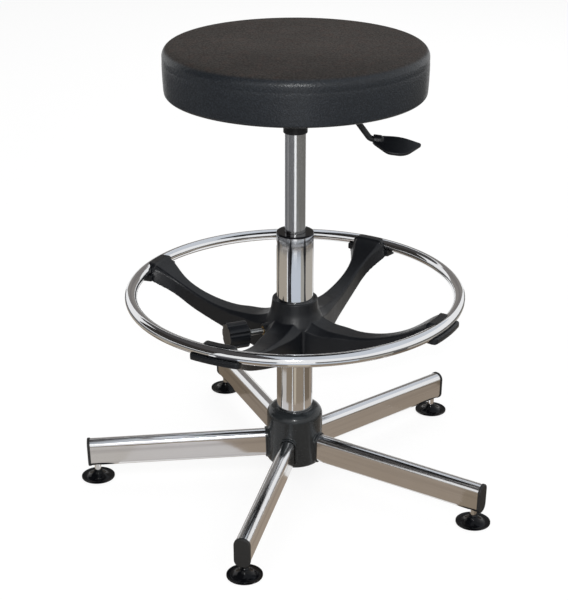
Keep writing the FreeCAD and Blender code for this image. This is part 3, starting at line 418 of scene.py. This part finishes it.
def turned(name, outline, segments):
    """Mesh of an outline turned about the stool's axis; points on the axis close it."""
    rings = []
    points = []
    for radius, height in outline:
        if radius == 0.0:
            rings.append([len(points)] * segments)
            points.append((0.0, 0.0, height))
            continue
        rings.append(list(range(len(points), len(points) + segments)))
        for n in range(segments):
            angle = 2 * math.pi * n / segments
            points.append((radius * math.cos(angle), radius * math.sin(angle), height))
    faces = []
    for low, high in zip(rings, rings[1:]):
        for n in range(segments):
            m = (n + 1) % segments
            corners = [low[n], low[m], high[m], high[n]]
            faces.append(list(dict.fromkeys(corners)))
    mesh = bpy.data.meshes.new(name)
    mesh.from_pydata(points, [], faces)
    mesh.validate()
    return mesh


def outward(mesh):
    """Turns all faces of a closed mesh outwards."""
    work = bmesh.new()
    work.from_mesh(mesh)
    bmesh.ops.recalc_face_normals(work, faces=work.faces)
    work.to_mesh(mesh)
    work.free()


def moulded_mesh(name, node, step, rounds, share):
    """The rounded moulding round a solid: a fine even skin, smoothed, then thinned out."""
    solid = NODES[node].data.copy()
    work = bmesh.new()
    work.from_mesh(solid)
    bmesh.ops.remove_doubles(work, verts=work.verts, dist=1e-6)
    work.to_mesh(solid)
    work.free()
    blank = placed(name, solid)
    skin = blank.modifiers.new("skin", "REMESH")
    skin.mode = "VOXEL"
    skin.voxel_size = step
    ease = blank.modifiers.new("ease", "SMOOTH")
    ease.factor = 0.5
    ease.iterations = rounds
    thin = blank.modifiers.new("thin", "DECIMATE")
    thin.ratio = share
    graph = bpy.context.evaluated_depsgraph_get()
    made = bpy.data.meshes.new_from_object(blank.evaluated_get(graph))
    bpy.data.objects.remove(blank)
    bpy.data.meshes.remove(solid)
    made.name = name
    made.materials.clear()
    return made


def seat_skin(seat):
    """Pebbled skin of the seat: dull, browner and painted lighter on top, cooler and glossier at
    the side.
    """
    finish = Finish("seat_skin")
    x, y, z = finish.axes(finish.place)
    reach = (x * x + y * y) ** 0.5
    rim = seat.bottom + seat.thickness - seat.crown
    top = z.rise(rim - SIDE_LOOK_END, rim - TOP_LOOK_START)
    worn = finish.cloud(11.0, 3.0, 0.6)
    fine = finish.cloud(420.0, 3.0, 0.65)
    mottle = finish.cloud(90.0, 3.0, 0.7)
    pebbles = finish.cells(1 / seat.grain, "SMOOTH_F1")
    large = finish.cells(1 / (seat.grain * 1.9), "F1")
    side = tuple(seat.side_colour)
    # Painted light: the top's colour is lighter than the side's, besides the skin's own browner
    # tone.
    dull = tuple(seat.lit_top_colour)
    ruddy = toned(dull, 1.22, 1.02, 0.98)
    upper = finish.mixed(mottle.rise(0.45, 0.7) * 0.7, dull, ruddy)
    # Painted sheen: the middle of the top is lighter than its rim.
    upper = finish.mixed(reach.rise(0.02, 0.15) * 0.45, finish.shaded(upper, 1.12), upper)
    # Painted shade: the top is darker towards its front.
    front = 1.0 - y.rise(-0.165, 0.02)
    upper = finish.mixed(front * 0.8, upper, finish.shaded(upper, 0.62))
    colour = finish.mixed(top, side, upper)
    colour = finish.mixed(worn.rise(0.35, 0.7) * 0.45, colour, finish.shaded(colour, 0.74))
    # Painted highlights: the tops of the pebbles are lighter.
    colour = finish.mixed(1.0 - pebbles.rise(0.2, 0.6), colour, finish.shaded(colour, 1.5))
    height = (1.0 - pebbles) * 0.7 + fine * 0.25 + (1.0 - large) * 0.3
    direction = finish.relief(height, 0.8, seat.grain_depth)
    wave = finish.cloud(22.0, 2.0, 0.5)
    direction = finish.relief(wave, 0.3, 0.0009, direction)
    polish = worn * 0.12 + pebbles.rise(0.2, 0.8) * 0.1
    glossy = finish.surface(
        Base_Color=colour, Roughness=polish + 0.25, Normal=direction, Specular_IOR_Level=0.3)
    flat = finish.surface(
        Base_Color=colour, Roughness=polish + 0.42, Normal=direction, Specular_IOR_Level=0.03)
    both = finish.node("ShaderNodeMixShader", {}, {0: top, 1: glossy, 2: flat})
    return finish.end(both.outputs[0])


def bright_chrome(colour, roughness):
    """Mirror chrome plate with a trace of polishing lines and haze."""
    finish = Finish("bright_chrome")
    haze = finish.cloud(14.0, 3.0, 0.55)
    lines = finish.cloud(38.0, 3.0, 0.6, finish.scaled(finish.place, 26.0, 26.0, 0.7))
    tint = finish.mixed(haze.rise(0.35, 0.75) * 0.3, colour, toned(colour, 0.93, 0.92, 0.9))
    polish = roughness + haze.rise(0.4, 0.8) * 0.035 + lines.rise(0.45, 0.75) * 0.03
    ripple = finish.relief(finish.cloud(18.0, 2.0, 0.5), 0.08, 0.0006)
    direction = finish.relief(lines, 0.05, 0.00005, ripple)
    return finish.shine(Base_Color=tint, Metallic=1.0, Roughness=polish, Normal=direction)


def arm_chrome(colour, roughness):
    """Chrome on the drawn flat-oval tube, with streaks along each arm and painted reflection in
    its colour.
    """
    finish = Finish("arm_chrome")
    x, y, z = finish.axes(finish.place)
    reach = (x * x + y * y) ** 0.5
    turn = x.math("ARCTAN2", y, x) - FIRST_ARM
    half = math.pi / ARM_COUNT
    turn = turn.math("WRAP", turn, half, -half)
    across = reach * turn.math("SINE", turn)
    along = reach * turn.math("COSINE", turn)
    height = z - ARM_MIDDLE + (along - ARM_START) * ARM_FALL
    drawn = finish.joined(along * 2.2, across * 420.0, height * 420.0)
    drawn_streak_and_reflection = finish.cloud(1.0, 3.0, 0.6, drawn)
    broad_band_and_reflection = finish.cloud(1.0, 1.0, 0.5, finish.joined(along * 1.4, across * 90.0, height * 90.0))
    haze = finish.cloud(11.0, 3.0, 0.6)
    # Warm and dark copies of the chrome's colour, for painted reflections and haze.
    warm = toned(colour, 0.86, 0.82, 0.77)
    deep = toned(colour, 0.62, 0.6, 0.6)
    # Painted reflection: the flanks below the top are warmer, as the floor shows in them.
    flank_reflection = 1.0 - height.rise(0.006, 0.014)
    tint = finish.mixed(haze.rise(0.3, 0.8) * 0.3 + flank_reflection * 0.35, colour, warm)
    # Streaks and broad bands along the arm are darker: partly drawn lines in the plate, partly
    # painted reflection.
    tint = finish.mixed(drawn_streak_and_reflection.rise(0.52, 0.74) * 0.4, tint, deep)
    tint = finish.mixed(broad_band_and_reflection.rise(0.5, 0.72) * 0.3, tint, deep)
    polish = roughness + drawn_streak_and_reflection.rise(0.4, 0.8) * 0.08 + haze.rise(0.4, 0.8) * 0.04
    direction = finish.relief(drawn_streak_and_reflection, 0.08, 0.00005)
    direction = finish.relief(broad_band_and_reflection, 0.06, 0.0004, direction)
    return finish.shine(Base_Color=tint, Metallic=1.0, Roughness=polish, Normal=direction)


def satin_chrome(colour, roughness):
    """Ground and plated cylinder: a fine grain round it and faint lines along it."""
    finish = Finish("satin_chrome")
    ground = finish.cloud(60.0, 4.0, 0.6, finish.scaled(finish.place, 1.0, 1.0, 60.0))
    drawn = finish.cloud(55.0, 3.0, 0.6, finish.scaled(finish.place, 14.0, 14.0, 0.5))
    rubbed = finish.cloud(8.0, 2.0, 0.5)
    dull = toned(colour, 0.84, 0.84, 0.84)
    tint = finish.mixed(drawn.rise(0.4, 0.75) * 0.3, colour, dull)
    polish = roughness + ground.rise(0.3, 0.8) * 0.05 + rubbed.rise(0.4, 0.8) * 0.04
    direction = finish.relief(ground, 0.02, 0.00006)
    direction = finish.relief(drawn, 0.05, 0.00005, direction)
    return finish.shine(Base_Color=tint, Metallic=1.0, Roughness=polish, Normal=direction)


def plated_steel(name, colour, roughness, spots):
    """Dull plated or bare steel with a cloudy surface and small marks."""
    finish = Finish(name)
    cloud = finish.cloud(spots, 4.0, 0.65)
    marks = finish.cloud(spots * 7.0, 2.0, 0.7)
    dark = toned(colour, 0.62, 0.6, 0.57)
    tint = finish.mixed(cloud.rise(0.35, 0.75) * 0.6, colour, dark)
    polish = roughness + cloud.rise(0.3, 0.8) * 0.14 + marks.rise(0.55, 0.8) * 0.1
    direction = finish.relief(marks, 0.18, 0.00008)
    return finish.shine(Base_Color=tint, Metallic=1.0, Roughness=polish, Normal=direction)


def black_moulding(name, colour, roughness, grain, depth, coat, gloss):
    """Injection-moulded plastic: a spark-eroded grain, soft flow marks and rubbed patches."""
    finish = Finish(name)
    pits = finish.cells(1 / grain, "SMOOTH_F1")
    flow = finish.cloud(26.0, 3.0, 0.6)
    dust = finish.cloud(260.0, 3.0, 0.7)
    pale = toned(colour, 1.3, 1.3, 1.32)
    dark = toned(colour, 0.78, 0.78, 0.78)
    tint = finish.mixed(flow.rise(0.35, 0.75) * 0.5, colour, dark)
    tint = finish.mixed(dust.rise(0.62, 0.8) * 0.3, tint, pale)
    polish = roughness + flow.rise(0.3, 0.8) * 0.09 + dust.rise(0.5, 0.8) * 0.06
    direction = finish.relief(pits * 0.6 + dust * 0.4, 0.5, depth)
    direction = finish.relief(flow, 0.12, 0.0006, direction)
    return finish.shine(
        Base_Color=tint, Roughness=polish, Normal=direction, Coat_Weight=coat,
        Coat_Roughness=0.12, Specular_IOR_Level=gloss)


def black_paint(colour):
    """Powder coat on pressed steel: a fine orange peel, thinner and greyer on rubbed spots."""
    finish = Finish("black_powder_coat")
    peel = finish.cloud(900.0, 2.0, 0.5)
    rub = finish.cloud(45.0, 4.0, 0.7)
    grey = toned(colour, 1.7, 1.7, 1.7)
    tint = finish.mixed(rub.rise(0.58, 0.8) * 0.5, colour, grey)
    polish = 0.34 + rub.rise(0.3, 0.8) * 0.14
    direction = finish.relief(peel, 0.3, 0.00012)
    return finish.shine(
        Base_Color=tint, Roughness=polish, Normal=direction, Specular_IOR_Level=0.25)


def birch_board():
    """Dark plywood disc: grain on its faces and glued layers at its edge."""
    finish = Finish("birch_board")
    height = finish.axes(finish.place)[2]
    grain = finish.cloud(1.0, 5.0, 0.65, finish.scaled(finish.place, 22.0, 320.0, 320.0))
    layer = height.math("SINE", height * 4200.0)
    # The board's colour is dark, which also darkens the seat's underside as the arms mirror it.
    pale = paint(46, 42, 38)
    brown = paint(27, 24, 22)
    tint = finish.mixed(grain.rise(0.35, 0.75) * 0.7, pale, brown)
    tint = finish.mixed(layer.rise(0.3, 0.9) * 0.35, tint, brown)
    polish = 0.55 + grain.rise(0.3, 0.8) * 0.2
    direction = finish.relief(grain, 0.35, 0.0002)
    return finish.shine(Base_Color=tint, Roughness=polish, Normal=direction)


def clear_nylon():
    """Natural nylon: milky, with soft flow lines."""
    finish = Finish("natural_nylon")
    flow = finish.cloud(60.0, 3.0, 0.6)
    tint = finish.mixed(flow.rise(0.3, 0.8) * 0.6, paint(214, 210, 198), paint(192, 187, 172))
    polish = 0.34 + flow.rise(0.3, 0.8) * 0.1
    direction = finish.relief(flow, 0.2, 0.0002)
    return finish.shine(
        Base_Color=tint, Roughness=polish, Normal=direction, Subsurface_Weight=0.15,
        Subsurface_Scale=0.002)


def black_rubber():
    """Dull rubber with a bloom."""
    finish = Finish("black_rubber")
    bloom = finish.cloud(120.0, 4.0, 0.7)
    tint = finish.mixed(bloom.rise(0.45, 0.8) * 0.6, paint(30, 30, 30), paint(58, 57, 55))
    polish = 0.62 + bloom.rise(0.3, 0.8) * 0.2
    direction = finish.relief(bloom, 0.3, 0.0002)
    return finish.shine(Base_Color=tint, Roughness=polish, Normal=direction)


def dress(finish, *names):
    """Gives CAD nodes a finish."""
    for name in names:
        slots = NODES[name].material_slots
        if not slots:
            raise RuntimeError(f"{name} has no material slot")
        for place in slots:
            place.material = finish


def seat_outline(seat):
    """Half section of the seat, from the middle of its top round to the board's pocket."""
    rim_top = seat.bottom + seat.thickness - seat.crown
    outer = seat.radius
    edge = seat.top_rounding
    foot = seat.bottom_rounding
    flat = outer - edge
    top = []
    for n in range(TOP_STEPS + 1):
        radius = flat * n / TOP_STEPS
        top.append((radius, rim_top + seat.crown * (1 - (radius / flat) ** 2)))
    shoulder = arc(flat, rim_top - edge, edge, 90, 4, SHOULDER_STEPS)[1:]
    line = rim_top - seat.parting
    low = seat.bottom + foot
    high = line - SEAM_HALF_WIDTH
    seam = [(outer, line + SEAM_HALF_WIDTH), (outer - SEAM_DEPTH, line), (outer, high)]
    side = []
    for n in range(1, SIDE_STEPS):
        share = n / SIDE_STEPS
        bulge = SIDE_BULGE - SIDE_TAPER * share ** 2
        side.append((outer + bulge, high + (low - high) * share))
    heel = arc(outer - SIDE_TAPER - foot, low, foot, 0, -90, HEEL_STEPS)
    pocket = seat.board_radius + BOARD_GAP
    roof = seat.bottom + seat.board_depth + BOARD_GAP
    under = [
        (pocket + 0.010, seat.bottom + 0.0002), (pocket + 0.002, seat.bottom + 0.0001),
        (pocket, seat.bottom + POCKET_CHAMFER), (pocket, roof), (0.0, roof)]
    return top + shoulder + seam + side + heel + under


class STOOL_OT_seat(bpy.types.Operator):
    """Makes the foam seat round its board"""

    bl_idname = "stool.make_seat"
    bl_label = "Seat"

    def execute(self, context):
        """Turns the seat's section, gives it the slight unevenness of foam, and its skin."""
        seat = context.scene.stool_seat
        mesh = turned("seat_pad", seat_outline(seat), seat.segments)
        outward(mesh)
        middle = seat.bottom + seat.thickness / 2
        pocket_top = seat.bottom + seat.board_depth + 0.002
        for vertex in mesh.vertices:
            at = vertex.co
            reach = math.hypot(at.x, at.y)
            # The underside stays true, so that the board fits.
            if at.z < pocket_top and reach < seat.radius - 0.01:
                continue
            swell = FOAM_SWELL * noise.noise(at * SWELLS_PER_METRE)
            if at.z > middle and reach < seat.radius - seat.top_rounding:
                at.z += swell
            elif reach > 0:
                at.x += swell * at.x / reach
                at.y += swell * at.y / reach
        pad = add_piece("seat_pad", mesh, "seat", seat_skin(seat))
        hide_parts("seat_cushion")
        return {"FINISHED"}


class STOOL_OT_mouldings(bpy.types.Operator):
    """Makes the rounded mouldings and finishes the plastic parts"""

    bl_idname = "stool.make_mouldings"
    bl_label = "Mouldings"

    def execute(self, context):
        """Replaces the carrier, the hub and the paddle by softly rounded forms."""
        look = context.scene.stool_moulding
        satin, gloss, deep, matte = (
            black_moulding(f"{name}_moulding", tuple(getattr(look, name)), *values)
            for name, values in PLASTICS.items())
        mesh = moulded_mesh("carrier_moulding", "ring_carrier", look.carrier_step, 6, 0.35)
        carrier = add_piece("carrier_moulding", mesh, "ring", satin)
        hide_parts("ring_carrier")
        mesh = moulded_mesh("hub_moulding", "base_hub", look.hub_step, 4, 0.4)
        hub = add_piece("hub_moulding", mesh, "base", gloss)
        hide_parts("base_hub")
        mesh = moulded_mesh("paddle_moulding", "lever_paddle", look.paddle_step, 6, 0.5)
        paddle = add_piece("paddle_moulding", mesh, "lever", satin)
        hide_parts("lever_paddle")
        dress(satin, "clamp_knob", "clamp_liner")
        arms = range(1, ARM_COUNT + 1)
        dress(deep, "column_bush", *(f"glide_{n}" for n in arms))
        dress(matte, *(f"end_cap_{n}" for n in arms))
        dress(clear_nylon(), "ball_cage", "clamp_pad", "cylinder_guide")
        dress(black_rubber(), "rod_buffer")
        dress(birch_board(), "seat_board")
        return {"FINISHED"}


class STOOL_OT_metal(bpy.types.Operator):
    """Finishes the metal parts"""

    bl_idname = "stool.finish_metal"
    bl_label = "Metal"

    def execute(self, context):
        """Chrome, satin chrome, plated fastenings, bare steel, brass and painted pressings."""
        look = context.scene.stool_metal
        chrome = bright_chrome(tuple(look.chrome), look.chrome_roughness)
        zinc = plated_steel("zinc_plate", tuple(look.zinc), 0.28, 90.0)
        steel = plated_steel("bare_steel", tuple(look.steel), 0.34, 60.0)
        brass = plated_steel("brass", tuple(look.brass), 0.26, 110.0)
        arms = range(1, ARM_COUNT + 1)
        dress(arm_chrome(tuple(look.chrome), look.arm_roughness), *(f"arm_{n}" for n in arms))
        dress(chrome, "column_tube", "footring", *(f"glide_stem_{n}" for n in arms))
        dress(satin_chrome(tuple(look.satin), look.satin_roughness), "gas_cylinder", "piston_rod")
        dress(zinc, "seat_screws", "seat_washers", "ring_screws", "stud_nut", "clamp_stud",
              "lever_pivot_pin", "pin_clips", "rod_clip", "board_inserts", "stem_bushes")
        dress(steel, "hub_core", "bearing_plate", "lower_race", "upper_race", "thrust_balls",
              "piston", "release_button")
        dress(brass, "clamp_insert")
        coat = black_paint(tuple(context.scene.stool_moulding.painted))
        dress(coat, "seat_plate", "taper_socket", "lever_bracket", "lever_cam", "lever_rod")
        return {"FINISHED"}


def stage_card(name, corners, colour):
    """A flat card that only shows in polished surfaces."""
    mesh = bpy.data.meshes.new(name)
    mesh.from_pydata(corners, [], [list(range(len(corners)))])
    finish = Finish(name)
    glow = finish.node("ShaderNodeEmission", {}, {"Color": paint(*colour)})
    mesh.materials.append(finish.end(glow.outputs[0]))
    card = placed(name, mesh)
    card.visible_camera = False
    card.visible_diffuse = False
    card.visible_transmission = False
    card.visible_shadow = False


def floor_card(name, near, far, start, end, colour):
    """A card on the floor, part of a ring; bearings start in front and grow to the right."""
    steps = max(2, round((end - start) / CARD_STEP))
    bearings = [math.radians(start + (end - start) * n / steps) for n in range(steps + 1)]
    inner = [(near * math.sin(b), -near * math.cos(b), CARD_LEVEL) for b in bearings]
    outer = [(far * math.sin(b), -far * math.cos(b), CARD_LEVEL) for b in reversed(bearings)]
    stage_card(name, inner + outer, colour)


# Near and far edge in metres, first and last bearing in degrees, and colour of the cards on the
# floor. The closest ones show in the arms, the next in the column below and above the ring, and
# the widest in the cylinder and on the seat's side.
FLOOR_CARDS = (
    (0.036, 0.25, -178, -86, (146, 134, 121)),
    (0.036, 0.25, -80, -38, (214, 211, 210)),
    (0.036, 0.25, -38, -10, (165, 152, 138)),
    (0.036, 0.25, -10, 56, (165, 152, 138)),
    (0.036, 0.25, 62, 128, (165, 152, 138)),
    (0.25, 0.47, -178, -92, (123, 111, 97)),
    (0.25, 0.47, -92, -84, (182, 172, 156)),
    (0.25, 0.36, -84, -52, (204, 200, 196)),
    (0.36, 0.47, -84, -52, (144, 131, 115)),
    (0.25, 0.47, -52, -4, (144, 131, 115)),
    (0.25, 0.47, -4, 9, (196, 185, 168)),
    (0.25, 0.47, 9, 55, (150, 137, 121)),
    (0.25, 0.47, 55, 104, (121, 109, 95)),
    (0.25, 0.36, 104, 130, (160, 147, 133)),
    (0.36, 0.47, 104, 130, (121, 109, 95)),
    (0.25, 0.47, 130, 150, (121, 109, 95)),
    (0.47, 0.90, -170, -146, (107, 104, 100)),
    (0.47, 0.90, -146, -50, (176, 167, 154)),
    (0.47, 0.90, -45, -32, (66, 66, 70)),
    (0.47, 0.90, -32, 36, (205, 212, 222)),
    (0.47, 0.90, 36, 58, (170, 167, 160)),
    (0.47, 0.90, 58, 69, (86, 84, 86)),
    (0.47, 0.90, 69, 140, (184, 178, 169)),
    (0.90, 3.20, -150, -92, (112, 112, 114)),
    (0.90, 3.20, -92, -78, (150, 150, 150)),
    (0.90, 3.20, -78, -10, (108, 108, 110)),
    (0.90, 3.20, 12, 150, (116, 114, 110)),
)

# Left and right edge in metres and colour of the cards overhead.
CEILING_CARDS = (
    (-3.0, -0.45, (78, 76, 76)),
    (-0.45, 3.0, (214, 219, 226)),
)

# Lower and upper edge in metres and colour of the bands behind the stool, which show on level
# faces.
BACK_CARDS = (
    (0.5, 1.5, (142, 138, 134)),
    (1.5, 2.3, (128, 124, 122)),
)

# Front, rear and lower edge in metres and colour of the card on the left.
LEFT_CARD = (-2.2, 1.2, 0.3, (56, 53, 51))


class STOOL_OT_stage(bpy.types.Operator):
    """Sets up the floor, the lamps and the camera"""

    bl_idname = "stool.make_stage"
    bl_label = "Stage"

    def execute(self, context):
        """A pale floor in even light, three large lamps, a flash, cards and the camera."""
        stage = context.scene.stool_stage
        self.make_floor(stage)
        self.make_world(stage)
        for name, place, width, power in LARGE_LAMPS:
            self.make_lamp(name, place, width, getattr(stage, power))
        over = (*stage.eye[:2], stage.eye[2] + FLASH_RISE)
        self.make_lamp("flash_lamp", over, FLASH_WIDTH, stage.flash, mirrored=True)
        self.make_cards()
        self.make_camera(stage)
        context.scene.view_settings.view_transform = "Standard"
        return {"FINISHED"}

    @staticmethod
    def make_floor(stage):
        """A wide disc that is white where nothing shades it."""
        mesh = turned("floor", [(FLOOR_RADIUS, FLOOR_LEVEL), (0.0, FLOOR_LEVEL)], 64)
        finish = Finish("floor")
        pale = finish.node("ShaderNodeBsdfDiffuse", {}, {"Color": tuple(stage.floor)})
        glow = finish.node("ShaderNodeEmission", {}, {"Strength": FLOOR_GLOW})
        share = finish.seen() * FLOOR_GLOW_SHARE
        mix = finish.node(
            "ShaderNodeMixShader", {}, {0: share, 1: pale.outputs[0], 2: glow.outputs[0]})
        mesh.materials.append(finish.end(mix.outputs[0]))
        floor = placed("floor", mesh)

    @staticmethod
    def make_world(stage):
        """White where it is seen or reflected, and an even light elsewhere."""
        world = bpy.data.worlds.new("studio")
        bpy.context.scene.world = world
        finish = Finish("studio", world)
        level = finish.seen() * (1.0 - stage.room) + stage.room
        back = finish.node("ShaderNodeBackground", {}, {"Color": (1, 1, 1, 1), "Strength": level})
        finish.node("ShaderNodeOutputWorld", {}, {"Surface": back.outputs[0]})

    @staticmethod
    def make_lamp(name, place, width, power, mirrored=False):
        """A square lamp aimed at the stool's middle."""
        data = bpy.data.lights.new(name, "AREA")
        data.size = width
        data.energy = power
        lamp = placed(name, data)
        lamp.visible_glossy = mirrored
        lamp.location = place
        aim(lamp, LAMP_TARGET - lamp.location)

    @staticmethod
    def make_cards():
        """Grey and brown cards round the stool, as the chrome mirrors them."""
        back = BACK_WALL
        for n, (left, right, colour) in enumerate(CEILING_CARDS, start=1):
            corners = [(x, y, CEILING) for x, y in
                       ((left, -back), (right, -back), (right, back), (left, back))]
            stage_card(f"ceiling_card_{n}", corners, colour)
        front, rear, low, colour = LEFT_CARD
        corners = [(LEFT_WALL, y, z) for y, z in
                   ((front, low), (rear, low), (rear, CEILING), (front, CEILING))]
        stage_card("left_card", corners, colour)
        side = BACK_HALF_WIDTH
        for n, (low, top, colour) in enumerate(BACK_CARDS, start=1):
            corners = [(x, back, z) for x, z in
                       ((-side, low), (side, low), (side, top), (-side, top))]
            stage_card(f"back_card_{n}", corners, colour)
        for n, row in enumerate(FLOOR_CARDS, start=1):
            floor_card(f"floor_card_{n}", *row)

    @staticmethod
    def make_camera(stage):
        """A camera at the photograph's place and angle."""
        data = bpy.data.cameras.new("camera")
        data.sensor_width = 36.0
        data.lens = stage.lens
        camera = placed("camera", data)
        camera.location = tuple(stage.eye)
        ahead = Vector((0, math.cos(stage.pitch), -math.sin(stage.pitch)))
        up = Vector((0, math.sin(stage.pitch), math.cos(stage.pitch)))
        aim(camera, ahead + Vector((1, 0, 0)) * AIM_ASIDE + up * AIM_UP)
        bpy.context.scene.camera = camera


class STOOL_PT_panel(bpy.types.Panel):
    """Lists the stool's settings and the buttons that use them"""

    bl_idname = "STOOL_PT_panel"
    bl_label = "Stool"
    bl_space_type = "VIEW_3D"
    bl_region_type = "UI"
    bl_category = "Stool"

    def draw(self, context):
        """Draws each group of settings over its button."""
        for name, _, button in GROUPS:
            box = self.layout.box()
            group = getattr(context.scene, name)
            for field in group.__annotations__:
                box.prop(group, field)
            box.operator(button.bl_idname, text=button.bl_label)


# The scene's name for each group of settings, its class, and the operator that uses it.
GROUPS = (
    ("stool_seat", StoolSeatSettings, STOOL_OT_seat),
    ("stool_moulding", StoolMouldingSettings, STOOL_OT_mouldings),
    ("stool_metal", StoolMetalSettings, STOOL_OT_metal),
    ("stool_stage", StoolStageSettings, STOOL_OT_stage),
)
CLASSES = (
    *(settings for _, settings, _ in GROUPS),
    *(button for _, _, button in GROUPS),
    STOOL_PT_panel,
)


def register():
    """Adds the classes and the scene's settings."""
    for made in CLASSES:
        bpy.utils.register_class(made)
    for name, settings, _ in GROUPS:
        setattr(bpy.types.Scene, name, PointerProperty(type=settings))


def unregister():
    """Removes the settings and the classes."""
    for name, _, _ in GROUPS:
        delattr(bpy.types.Scene, name)
    for made in reversed(CLASSES):
        bpy.utils.unregister_class(made)


def main():
    """Makes the whole scene."""
    register()
    bpy.ops.stool.make_seat()
    bpy.ops.stool.make_mouldings()
    bpy.ops.stool.finish_metal()
    bpy.ops.stool.make_stage()


if __name__ == "__main__":
    main()
